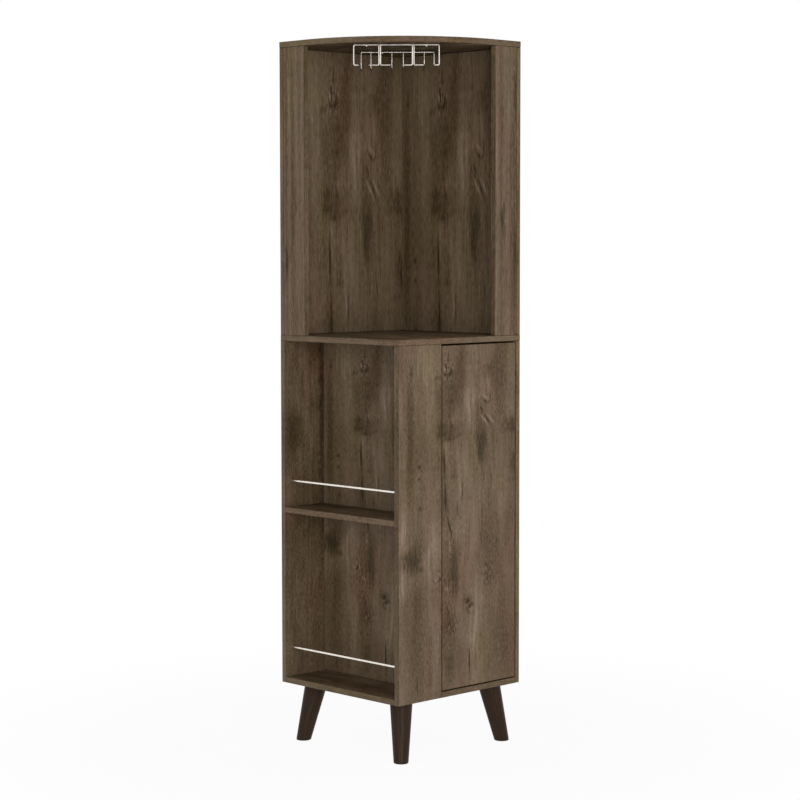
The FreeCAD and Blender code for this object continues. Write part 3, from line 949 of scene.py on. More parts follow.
def loose_solids(node: str) -> list[list[Vector]]:
    """Corner points of each separate solid of a node.

    Args:
        node: The node's name.

    Returns:
        One list of points for each solid.
    """
    shape = bmesh.new()
    shape.from_mesh(frame["nodes"][node].data)
    bmesh.ops.remove_doubles(shape, verts=shape.verts, dist=MERGE)
    waiting = set(shape.verts)
    solids = []
    while waiting:
        front = [waiting.pop()]
        points = []
        while front:
            corner = front.pop()
            points.append(corner.co.copy())
            for edge in corner.link_edges:
                other = edge.other_vert(corner)
                if other in waiting:
                    waiting.remove(other)
                    front.append(other)
        solids.append(points)
    shape.free()
    return solids


def extent(points: Iterable[Vector]) -> tuple[Vector, Vector]:
    """Lowest and highest corner of some points."""
    columns = list(zip(*points))
    return Vector([min(column) for column in columns]), Vector([max(column) for column in columns])


def lies_in(low: Vector, high: Vector, box: tuple[Vector, Vector]) -> bool:
    """Whether the space between two corners lies in a box."""
    return all(box[0][axis] - TOUCH <= low[axis] and high[axis] <= box[1][axis] + TOUCH
               for axis in range(3))


class Slot(IntEnum):
    """Material slots of a board's mesh."""

    FACE = 0
    SEAM = 1
    SIDE = 2


@dataclass
class Board:
    """One printed board: its outline in plan raised between two levels, with softened edges.

    Attributes:
        node: The node that it stands for.
        grain: Which way the print runs.
        lay: Where its print was cut from the sheet.
        edge_round: Radius of the edge band's corners.
        edge_steps: Flats in each rounded corner.
        flat_below: Edges that turn by less than this many radians are left unrounded.
        smooth_below: Edges flatter than this many degrees are shaded smooth.
        side_below: A face turned towards the board's thickness by less than this is a narrow side.
        shade_copy: Which copy of the decor an upright board carries, plain or with painted shade.
        dark_ends: Whether its narrow sides are printed darker than its faces.
    """

    node: str
    grain: Grain
    lay: Lay = Lay()
    edge_round: float = 0.0009
    edge_steps: int = 2
    flat_below: float = 0.25
    smooth_below: float = 16.0
    side_below: float = 0.5
    shade_copy: ShadeCopy = ShadeCopy.OUTER
    dark_ends: bool = False

    def outline(self) -> list[Vector]:
        """Draw the board in plan.

        Returns:
            Its corners, in order.
        """
        low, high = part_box(self.node)
        return [Vector((low.x, low.y, 0)), Vector((high.x, low.y, 0)), Vector((high.x, high.y, 0)),
                Vector((low.x, high.y, 0))]

    def build(self, finishes: Finishes, cutters: Optional[bmesh.types.BMesh] = None) -> bpy.types.Object:
        """Make the board.

        Args:
            finishes: The cabinet's finishes.
            cutters: Closed shapes that are taken out of it, which are used up.

        Returns:
            The finished piece.
        """
        low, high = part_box(self.node)
        shape = bmesh.new()
        lower = [shape.verts.new((corner.x, corner.y, low.z)) for corner in self.outline()]
        upper = [shape.verts.new((corner.x, corner.y, high.z)) for corner in self.outline()]
        shape.faces.new(list(reversed(lower)))
        shape.faces.new(upper)
        for index, corner in enumerate(lower):
            following = (index + 1) % len(lower)
            shape.faces.new((corner, lower[following], upper[following], upper[index]))
        shape.normal_update()
        sharp = [edge for edge in shape.edges if edge.calc_face_angle(0.0) > self.flat_below]
        bmesh.ops.bevel(shape, geom=sharp, offset=self.edge_round, segments=self.edge_steps, profile=0.5,
                        affect="EDGES", material=Slot.SEAM)
        piece = link("board_" + self.node, to_mesh("board_" + self.node, shape, self.smooth_below))
        for material in (self.face_finish(finishes), finishes.seam, self.side_finish(finishes)):
            piece.data.materials.append(material)
        thin = min(range(3), key=lambda axis: high[axis] - low[axis])
        for face in piece.data.polygons:
            if face.material_index == Slot.FACE and abs(face.normal[thin]) < self.side_below:
                face.material_index = Slot.SIDE
        if cutters is not None:
            cut(piece, cutters, self.smooth_below)
        self.lay_print(piece.data)
        enter(piece, NODE_BODY[self.node], [self.node])
        return piece

    def face_finish(self, finishes: Finishes) -> bpy.types.Material:
        """The print of the board's faces; level boards take the darker copy with painted shade."""
        return finishes.upright[self.shade_copy] if self.grain is Grain.UP else finishes.flat

    def side_finish(self, finishes: Finishes) -> bpy.types.Material:
        """Choose the print of the board's narrow sides.

        Args:
            finishes: The cabinet's finishes.

        Returns:
            The material.
        """
        if self.dark_ends:
            return finishes.band
        return finishes.upright[ShadeCopy.OUTER] if self.grain is Grain.UP else finishes.edge

    def lay_print(self, mesh: bpy.types.Mesh) -> None:
        """Lay the printed sheet on every face, with the grain along the edge bands.

        Args:
            mesh: The board's mesh.
        """
        layer = mesh.uv_layers.new(name=PRINT_MAP)
        for face in mesh.polygons:
            read = self.reader(face.normal)
            for loop in face.loop_indices:
                across, along = read(mesh.vertices[mesh.loops[loop].vertex_index].co)
                along = along / self.lay.stretch + self.lay.along
                layer.data[loop].uv = (across + self.lay.across, along)

    def reader(self, normal: Vector) -> Callable[[Vector], tuple[float, float]]:
        """How a face with this normal reads the sheet.

        Args:
            normal: The face's direction.

        Returns:
            A function from a point to its place across and along the grain.
        """
        facing = max(range(3), key=lambda axis: abs(normal[axis]))
        if self.grain is Grain.UP:
            if facing == 2:
                return lambda point: (point.y - point.x, point.z + point.x + point.y)
            if facing == 0:
                return lambda point: (-point.y, point.z)
            return lambda point: (point.x, point.z)
        if facing == 2:
            side = 1 - self.grain.value
            return lambda point: (point[side], point[self.grain.value])
        return lambda point: (point.z, point.dot(DIAGONAL_ACROSS))


@dataclass
class NotchedBoard(Board):
    """Board with one corner cut away for the panel that stands in it."""

    notch_node: str = ""

    def outline(self) -> list[Vector]:
        """Draw the board in plan, round the notch.

        Returns:
            Its corners, in order.
        """
        low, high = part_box(self.node)
        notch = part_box(self.notch_node)[1]
        return [Vector((notch.x, low.y, 0)), Vector((high.x, low.y, 0)), Vector((high.x, high.y, 0)),
                Vector((low.x, high.y, 0)), Vector((low.x, notch.y, 0)), Vector((notch.x, notch.y, 0))]


@dataclass
class RoundFrontBoard(Board):
    """Board whose front corner is one large arc between the ends of the two stiles."""

    start_node: str = ""
    end_node: str = ""
    arc_steps: int = 72

    def outline(self) -> list[Vector]:
        """Draw the board in plan, with the arc in short chords.

        Returns:
            Its corners, in order.
        """
        low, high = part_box(self.node)
        centre = Vector((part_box(self.end_node)[0].x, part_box(self.start_node)[0].y, 0))
        radius = centre.x - low.x
        points = [Vector((high.x, low.y, 0)), Vector((high.x, high.y, 0)), Vector((low.x, high.y, 0))]
        for step in range(self.arc_steps + 1):
            angle = math.pi + math.pi / 2 * step / self.arc_steps
            points.append(centre + Vector((math.cos(angle), math.sin(angle), 0)) * radius)
        return points


@dataclass
class CamLocks:
    """Round cams let flush into the boards, each with a cross recess for the driver.

    Attributes:
        node: The cams' node.
        clearance: Gap round each cam in its hole.
        overshoot: How far a hole's cutter stands out of the board.
        chamfer: Width of the cams' bevels.
        sides: Sides of the round.
        slot_reach: Half the span of the cross recess.
        slot_width: Width of its arms.
        slot_depth: How deep it goes.
        smooth_below: Edges flatter than this many degrees are shaded smooth.
    """

    node: str = "cam_locks"
    clearance: float = 0.0001
    overshoot: float = 0.002
    chamfer: float = 0.0005
    sides: int = 36
    slot_reach: float = 0.0048
    slot_width: float = 0.0016
    slot_depth: float = 0.003
    smooth_below: float = 30.0

    def places(self) -> list[tuple[Vector, Vector, float, float]]:
        """Read where the cams lie from their node.

        Returns:
            Mouth, direction inwards, depth and radius of each cam.
        """
        found = []
        boards = [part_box(node) for node in frame["nodes"] if node.endswith(("_panel", "_stile"))]
        for points in loose_solids(self.node):
            low, high = extent(points)
            size = high - low
            axis = min(range(3), key=lambda index: size[index])
            middle = (low + high) / 2
            holder = next(box for box in boards if lies_in(low, high, box))
            at_high = abs(holder[1][axis] - high[axis]) < abs(low[axis] - holder[0][axis])
            mouth = middle.copy()
            mouth[axis] = high[axis] if at_high else low[axis]
            inward = AXES[axis] * (-1 if at_high else 1)
            found.append((mouth, inward, size[axis], size[(axis + 1) % 3] / 2))
        return found

    def holes(self, board: str) -> Optional[bmesh.types.BMesh]:
        """Cutters for the cams that lie in a board.

        Args:
            board: The board's node.

        Returns:
            The cutters, or nothing if the board holds no cam.
        """
        low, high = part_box(board)
        shape = bmesh.new()
        for mouth, inward, depth, radius in self.places():
            inside = mouth + inward * depth / 2
            if all(low[index] < inside[index] < high[index] for index in range(3)):
                hole = radius + self.clearance
                rod(shape, mouth, inward, ((-self.overshoot, hole), (depth, hole)), self.sides)
        if shape.verts:
            return shape
        shape.free()
        return None

    def build(self, finishes: Finishes) -> None:
        """Make all the cams as one piece.

        Args:
            finishes: The cabinet's finishes.
        """
        shape = bmesh.new()
        cutter = bmesh.new()
        for mouth, inward, depth, radius in self.places():
            profile = ((0, radius - self.chamfer), (self.chamfer, radius), (depth - self.chamfer, radius),
                       (depth, radius - self.chamfer))
            rod(shape, mouth, inward, profile, self.sides)
            cross_recess(cutter, mouth, inward, self.slot_reach, self.slot_width, self.slot_depth)
        piece = link("cams", to_mesh("cams", shape, self.smooth_below))
        cut(piece, cutter, self.smooth_below)
        piece.data.materials.append(finishes.zinc)
        enter(piece, NODE_BODY[self.node], [self.node])


def cross_recess(shape: bmesh.types.BMesh, mouth: Vector, inward: Vector, reach: float, width: float,
                 depth: float) -> None:
    """Add a tapered cross that is sunk into a round face.

    Args:
        shape: The shape that it is added to.
        mouth: Middle of the face.
        inward: Direction into the face.
        reach: Half the cross's span.
        width: Width of its arms.
        depth: How deep it goes.
    """
    turn = inward.normalized().to_track_quat("Z", "Y").to_matrix()
    rise = depth * RECESS_RISE
    half = width / 2
    arm = [(reach, -half), (reach, half), (half, half)]
    corners = []
    for _ in range(4):
        corners += arm
        arm = [(-y, x) for x, y in arm]
    floor = [(x * RECESS_TAPER, y * RECESS_TAPER) for x, y in corners]
    top = [shape.verts.new(mouth + turn @ Vector((x, y, -rise))) for x, y in corners]
    low = [shape.verts.new(mouth + turn @ Vector((x, y, depth))) for x, y in floor]
    shape.faces.new(top)
    shape.faces.new(list(reversed(low)))
    for index, corner in enumerate(top):
        following = (index + 1) % len(top)
        shape.faces.new((corner, low[index], low[following], top[following]))


@dataclass
class ScrewSet:
    """Screws of one group: domed pan heads with a cross recess, and a shank with turned grooves.

    Attributes:
        node: The group's node.
        slot: The record's finish slot; not used.
        sides: Sides of the round.
        dome_share: Share of the head's height that is domed.
        dome_turn: Share of a quarter turn that the dome's arc takes.
        dome_steps: Flats in that arc.
        crown: Share of the head's radius that the arc doesn't draw in.
        pitch: Distance between the shank's grooves.
        groove: Radius in a groove for the shank's radius.
        tip_radius: Radius of the tip for the shank's radius.
        tip_length: Length of the tip for the shank's radius.
        slot_reach: Half the span of the cross recess for the head's radius.
        slot_width: Width of its arms for the head's radius.
        slot_depth: Its depth for the head's height.
        smooth_below: Edges flatter than this many degrees are shaded smooth.
    """

    node: str
    slot: str
    sides: int = 28
    dome_share: float = 0.55
    dome_turn: float = 0.8
    dome_steps: int = 5
    crown: float = 0.35
    pitch: float = 0.0014
    groove: float = 0.82
    tip_radius: float = 0.15
    tip_length: float = 1.6
    slot_reach: float = 0.55
    slot_width: float = 0.22
    slot_depth: float = 0.75
    smooth_below: float = 30.0

    def build(self, material: bpy.types.Material) -> None:
        """Make the group's screws as one piece.

        Args:
            material: Their finish.
        """
        shape = bmesh.new()
        cutter = bmesh.new()
        for points in loose_solids(self.node):
            tip, axis, length, head, shank, head_height = self.measure(points)
            rod(shape, tip, axis, self.profile(length, head, shank, head_height), self.sides)
            top = tip + axis * length
            cross_recess(cutter, top, -axis, head * self.slot_reach, head * self.slot_width,
                         head_height * self.slot_depth)
        piece = link("screws_" + self.node, to_mesh("screws_" + self.node, shape, self.smooth_below))
        cut(piece, cutter, self.smooth_below)
        piece.data.materials.append(material)
        enter(piece, NODE_BODY[self.node], [self.node])

    @staticmethod
    def measure(points: list[Vector]) -> tuple[Vector, Vector, float, float, float, float]:
        """Read a screw's sizes from its points.

        Args:
            points: Corner points of the plain screw.

        Returns:
            Tip, direction to the head, length, head radius, shank radius and head height.
        """
        low, high = extent(points)
        size = high - low
        axis = max(range(3), key=lambda index: size[index])
        middle = (low + high) / 2

        def radius(point: Vector) -> float:
            """Measure how far a point lies from the screw's axis.

            Args:
                point: The point.

            Returns:
                Its distance.
            """
            offset = point - middle
            offset[axis] = 0
            return offset.length

        wide = max(radius(point) for point in points)
        narrow = min(radius(point) for point in points)
        head_levels = [point[axis] for point in points if radius(point) > (wide + narrow) / 2]
        at_high = max(head_levels) > middle[axis]
        tip = middle.copy()
        tip[axis] = low[axis] if at_high else high[axis]
        direction = AXES[axis] * (1 if at_high else -1)
        return tip, direction, size[axis], wide, narrow, max(head_levels) - min(head_levels)

    def profile(self, length: float, head: float, shank: float,
                head_height: float) -> list[tuple[float, float]]:
        """Outline of a screw from its tip to the top of its head.

        Args:
            length: Whole length.
            head: Radius of the head.
            shank: Radius of the shank.
            head_height: Height of the head.

        Returns:
            Distances from the tip and radii.
        """
        seat = length - head_height
        place = shank * self.tip_length
        outline = [(0.0, shank * self.tip_radius), (place, shank * self.groove)]
        while place + self.pitch < seat - self.pitch:
            outline.append((place + self.pitch / 2, shank))
            outline.append((place + self.pitch, shank * self.groove))
            place += self.pitch
        outline.append((seat, shank))
        outline.append((seat, head))
        rim = head_height * (1 - self.dome_share)
        whole_turn = math.pi / 2 * self.dome_turn
        dome = head_height * self.dome_share / math.sin(whole_turn)
        for step in range(self.dome_steps + 1):
            angle = whole_turn * step / self.dome_steps
            drawn_in = self.crown + (1 - self.crown) * math.cos(angle)
            outline.append((seat + rim + dome * math.sin(angle), head * drawn_in))
        return outline


@dataclass
class Casework:
    """All the boards of the cabinet, with holes where their fittings show.

    Attributes:
        cams: The cams that are let into the boards.
        upper_stretch: How far the print of the upper boards is drawn out along the grain.
        upper_base: How far it is moved along the grain.
        side_wall_shift: How far the print of the niche's side wall is moved across the grain.
        bay_end_shift: The same for the end wall of the bottle bays.
        lower_side_shift: The same for the lower side panel.
        left_stile_cut: Where the left stile was cut from the sheet.
        right_stile_cut: Where the right stile was cut from the sheet.
        plain_sheet: Where the level boards were cut from the sheet, across the grain.
        level_cuts: Where the bay shelf, inner shelf, bottom and top were cut, along the grain.
        wall_round: Radius of the edges of the wall panels and the divider.
        fine_round: Radius of the bottom panel's edges.
        cup_clearance: Gap round each hinge cup in its hole.
        cup_overshoot: How far a cup hole's cutter stands out of the door.
        cup_sides: Sides of the cup holes.
    """

    cams: CamLocks
    upper_stretch: float = 1.8
    upper_base: float = 0.0483
    side_wall_shift: float = 0.005
    bay_end_shift: float = 1.85
    lower_side_shift: float = 0.02
    left_stile_cut: tuple[float, float] = (1.37, 0.0)
    right_stile_cut: tuple[float, float] = (1.11, 0.3)
    plain_sheet: float = 2.0
    level_cuts: tuple[float, ...] = (0.7, 1.4, 2.1, 2.9)
    wall_round: float = 0.0016
    fine_round: float = 0.0005
    cup_clearance: float = 0.0001
    cup_overshoot: float = 0.001
    cup_sides: int = 64

    def boards(self) -> list[Board]:
        """List every board with the lie of its print.

        Returns:
            The boards, in the order in which they are made.
        """
        back_wall = Lay(0.0, self.upper_base, self.upper_stretch)
        side_wall = Lay(self.side_wall_shift, self.upper_base, self.upper_stretch)
        left_stile = Lay(*self.left_stile_cut, self.upper_stretch)
        right_stile = Lay(*self.right_stile_cut, self.upper_stretch)
        shelf, inner, bottom, top = [Lay(self.plain_sheet, along) for along in self.level_cuts]
        return [
            Board("fixed_front_panel", Grain.UP, dark_ends=True),
            Board("door_panel", Grain.UP),
            Board("divider_panel", Grain.UP, edge_round=self.wall_round),
            Board("lower_back_panel", Grain.UP, Lay(self.bay_end_shift), shade_copy=ShadeCopy.BAY_END),
            Board("lower_side_panel", Grain.UP, Lay(self.lower_side_shift), self.wall_round),
            Board("upper_back_panel", Grain.UP, back_wall, self.wall_round, shade_copy=ShadeCopy.NICHE),
            Board("upper_side_panel", Grain.UP, side_wall, self.wall_round, shade_copy=ShadeCopy.NICHE),
            Board("left_stile", Grain.UP, left_stile, dark_ends=True),
            Board("right_stile", Grain.UP, right_stile, dark_ends=True),
            Board("counter_panel", Grain.ALONG_Y, Lay(self.plain_sheet)),
            Board("bay_shelf", Grain.ALONG_Y, shelf),
            Board("inner_shelf", Grain.ALONG_X, inner),
            NotchedBoard("bottom_panel", Grain.ALONG_Y, bottom, self.fine_round,
                         notch_node="fixed_front_panel"),
            RoundFrontBoard("top_panel", Grain.ALONG_Y, top, start_node="left_stile",
                            end_node="right_stile"),
        ]

    def build(self, finishes: Finishes) -> None:
        """Make every board.

        Args:
            finishes: The cabinet's finishes.
        """
        for board in self.boards():
            cutters = self.cup_holes() if board.node == "door_panel" else self.cams.holes(board.node)
            board.build(finishes, cutters)

    def cup_holes(self) -> bmesh.types.BMesh:
        """Make cutters for the hinge cups in the back of the door.

        Returns:
            The cutters.
        """
        shape = bmesh.new()
        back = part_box("door_panel")[1].y
        for node in ("hinge_cup_lower", "hinge_cup_upper"):
            low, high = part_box(node)
            deep = [vertex.co for vertex in frame["nodes"][node].data.vertices if vertex.co.y < back]
            inner_low, inner_high = extent(deep)
            radius = (inner_high.x - inner_low.x) / 2 + self.cup_clearance
            start = Vector(((low.x + high.x) / 2, low.y - self.cup_clearance, (low.z + high.z) / 2))
            depth = back - low.y + self.cup_overshoot
            rod(shape, start, AXES[1], ((0, radius), (depth, radius)), self.cup_sides)
        return shape


@dataclass
class BottleRails:
    """Bright rods across the two bottle bays, with softened ends."""

    nodes: tuple[str, ...] = ("upper_rail", "lower_rail")
    sides: int = 40
    chamfer: float = 0.0006
    smooth_below: float = 30.0

    def build(self, finishes: Finishes) -> None:
        """Make both rods.

        Args:
            finishes: The cabinet's finishes.
        """
        for node in self.nodes:
            low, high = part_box(node)
            radius = (high.z - low.z) / 2
            length = high.y - low.y
            start = Vector(((low.x + high.x) / 2, low.y, (low.z + high.z) / 2))
            end = radius - self.chamfer
            profile = ((0, end), (self.chamfer, radius), (length - self.chamfer, radius), (length, end))
            shape = bmesh.new()
            rod(shape, start, AXES[1], profile, self.sides)
            piece = link("rod_" + node, to_mesh("rod_" + node, shape, self.smooth_below))
            piece.data.materials.append(finishes.rail)
            enter(piece, NODE_BODY[node], [node])


@dataclass
class Legs:
    """Four turned legs that taper and lean out, each cut level at both ends with a softened sole.

    Attributes:
        places: Where the legs stand.
        sides: Sides of the round.
        rings: Rings between the sole's round and the top.
        sole_round: Radius of the sole's edge.
        round_steps: Flats in that edge.
        grain_shift: How far apart on the sheet the legs were cut.
        smooth_below: Edges flatter than this many degrees are shaded smooth.
    """

    places: tuple[str, ...] = ("front_left", "front_right", "back_left", "back_right")
    sides: int = 72
    rings: int = 16
    sole_round: float = 0.0022
    round_steps: int = 5
    grain_shift: float = 0.4
    smooth_below: float = 50.0

    def build(self, finishes: Finishes) -> None:
        """Make the four legs.

        Args:
            finishes: The cabinet's finishes.
        """
        for place in self.places:
            node = "leg_" + place
            shape = bmesh.new()
            self.turn(shape, node)
            piece = link("turned_" + node, to_mesh("turned_" + node, shape, self.smooth_below))
            piece.data.materials.append(finishes.leg)
            self.lay_grain(piece.data, node)
            enter(piece, NODE_BODY[node], [node])

    @staticmethod
    def ends(node: str) -> tuple[Vector, Vector, Vector, Vector]:
        """Middles of a leg's top and sole, and their half sizes along X and Y.

        Args:
            node: The leg's node.

        Returns:
            Top middle, sole middle, top half size and sole half size.
        """
        low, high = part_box(node)
        points = [vertex.co for vertex in frame["nodes"][node].data.vertices]
        top_low, top_high = extent(point for point in points if point.z > high.z - TOUCH)
        sole_low, sole_high = extent(point for point in points if point.z < low.z + TOUCH)
        top_half = (top_high - top_low) / 2
        sole_half = (sole_high - sole_low) / 2
        return (top_low + top_high) / 2, (sole_low + sole_high) / 2, top_half, sole_half

    def turn(self, shape: bmesh.types.BMesh, node: str) -> None:
        """Stack level ovals from the sole to the top.

        Args:
            shape: The shape that they are added to.
            node: The leg's node.
        """
        top, sole, top_half, sole_half = self.ends(node)
        lean = Vector((top.x - sole.x, top.y - sole.y, 0)).normalized()
        side = Vector((-lean.y, lean.x, 0))
        stretch = 1 / math.cos(math.atan2((top - sole).xy.length, top.z - sole.z))
        levels = []
        for step in range(self.round_steps):
            angle = math.pi / 2 * step / self.round_steps
            rise = self.sole_round * (1 - math.cos(angle))
            levels.append((rise, self.sole_round * (1 - math.sin(angle))))
        height = top.z - sole.z
        for step in range(self.rings + 1):
            levels.append((self.sole_round + (height - self.sole_round) * step / self.rings, 0.0))
        rings = []
        for level, drawn_in in levels:
            share = level / height
            middle = sole.lerp(top, share)
            half = sole_half.x + (top_half.x - sole_half.x) * share
            radius = half / math.sqrt((1 + stretch ** 2) / 2) - drawn_in
            ring = []
            for index in range(self.sides):
                angle = 2 * math.pi * index / self.sides
                ring.append(shape.verts.new(middle + lean * radius * stretch * math.cos(angle)
                                            + side * radius * math.sin(angle)))
            rings.append(ring)
        for lower, upper in zip(rings, rings[1:]):
            for index in range(self.sides):
                following = (index + 1) % self.sides
                shape.faces.new((lower[index], lower[following], upper[following], upper[index]))
        shape.faces.new(list(reversed(rings[0])))
        shape.faces.new(rings[-1])

    def lay_grain(self, mesh: bpy.types.Mesh, node: str) -> None:
        """Lay the grain up the leg, with its girth across.

        Args:
            mesh: The leg's mesh.
            node: The leg's node.
        """
        top, sole, top_half, _ = self.ends(node)
        start = self.grain_shift * self.places.index(node.removeprefix("leg_"))
        layer = mesh.uv_layers.new(name=PRINT_MAP)
        for face in mesh.polygons:
            centre_angle = self.angle(face.center, top, sole)
            for loop in face.loop_indices:
                point = mesh.vertices[mesh.loops[loop].vertex_index].co
                angle = self.angle(point, top, sole)
                angle += 2 * math.pi * round((centre_angle - angle) / (2 * math.pi))
                layer.data[loop].uv = (angle * top_half.x + start, point.z + start)

    @staticmethod
    def angle(point: Vector, top: Vector, sole: Vector) -> float:
        """Angle of a point about the leg's axis at its level."""
        middle = sole.lerp(top, (point.z - sole.z) / (top.z - sole.z))
        return math.atan2(point.y - middle.y, point.x - middle.x)


@dataclass
class GlassRack:
    """Bright wire rack under the top, with a bead of weld where each inner wire meets a bar.

    Attributes:
        outer: The outer loop's node.
        inner: The inner wires' nodes.
        end_reach: Points within this of a wire's highest level belong to its upper end.
        bead_radius: Radius of a bead.
        bead_flat: Its height for its width.
        bead_open: Share of a half turn that its arc leaves out at each end.
        bead_steps: Flats in that arc.
        bead_sides: Sides of the round.
        smooth_below: Edges flatter than this many degrees are shaded smooth.
    """

    outer: str = "rack_outer_wire"
    inner: tuple[str, ...] = ("rack_left_pair_left_wire", "rack_left_pair_right_wire",
                              "rack_right_pair_left_wire", "rack_right_pair_right_wire")
    end_reach: float = 0.0004
    bead_radius: float = 0.0024
    bead_flat: float = 0.55
    bead_open: float = 0.06
    bead_steps: int = 8
    bead_sides: int = 20
    smooth_below: float = 60.0

    def build(self, finishes: Finishes) -> None:
        """Dress the wires and make the welds.

        Args:
            finishes: The cabinet's finishes.
        """
        for node in (self.outer, *self.inner):
            dress_node(node, finishes.wire)
        shape = bmesh.new()
        for node in self.inner:
            for end in self.upper_ends(node):
                self.bead(shape, end)
        piece = link("rack_welds", to_mesh("rack_welds", shape, self.smooth_below))
        piece.data.materials.append(finishes.wire)
        enter(piece, NODE_BODY[self.outer])

    def upper_ends(self, node: str) -> list[Vector]:
        """Middles of the two upper ends of an inner wire.

        Args:
            node: The wire's node.

        Returns:
            Its front end and its rear end.
        """
        points = [vertex.co for vertex in frame["nodes"][node].data.vertices]
        split = sum(point.dot(DIAGONAL_FORWARD) for point in points) / len(points)
        front = [point for point in points if point.dot(DIAGONAL_FORWARD) > split]
        rear = [point for point in points if point.dot(DIAGONAL_FORWARD) <= split]
        ends = []
        for part in (front, rear):
            level = max(point.z for point in part)
            low, high = extent(point for point in part if point.z > level - self.end_reach)
            ends.append((low + high) / 2)
        return ends

    def bead(self, shape: bmesh.types.BMesh, end: Vector) -> None:
        """Add one flattened bead about a wire's end.

        Args:
            shape: The shape that it is added to.
            end: Middle of the wire's end.
        """
        profile = []
        half = self.bead_radius * self.bead_flat
        for step in range(self.bead_steps + 1):
            angle = math.pi * (self.bead_open + (1 - 2 * self.bead_open) * step / self.bead_steps)
            profile.append((half * (1 - math.cos(angle)), self.bead_radius * math.sin(angle)))
        rod(shape, end - AXES[2] * half, AXES[2], profile, self.bead_sides)


@dataclass
class Hardware:
    """Hinges, latch, plates, pins and the hidden fasteners."""

    nickel_nodes: tuple[str, ...] = ("hinge_cup_lower", "hinge_cup_upper", "hinge_arm_lower",
                                     "hinge_arm_upper", "hinge_plate_lower", "hinge_plate_upper",
                                     "hinge_pin_lower", "hinge_pin_upper", "shelf_pins", "latch_strike")
    zinc_nodes: tuple[str, ...] = ("leg_plate_front_left", "leg_plate_front_right", "leg_plate_back_left",
                                   "leg_plate_back_right", "leg_bolts", "cam_bolts")
    nickel_screws: tuple[str, ...] = ("hinge_cup_screws", "hinge_plate_screws", "hinge_arm_screws",
                                      "latch_screws", "rack_screws")
    zinc_screws: tuple[str, ...] = ("leg_plate_screws",)

    def build(self, finishes: Finishes) -> None:
        """Dress the fittings and make the screws.

        Args:
            finishes: The cabinet's finishes.
        """
        for node in self.nickel_nodes:
            dress_node(node, finishes.nickel)
        for node in self.zinc_nodes:
            dress_node(node, finishes.zinc)
        dress_node("latch_housing", finishes.latch_body)
        dress_node("latch_plunger", finishes.latch_tip)
        dress_node("dowels", finishes.beech)
        for node in self.nickel_screws:
            ScrewSet(node, "nickel_steel").build(finishes.nickel)
        for node in self.zinc_screws:
            ScrewSet(node, "zinc_steel").build(finishes.zinc)


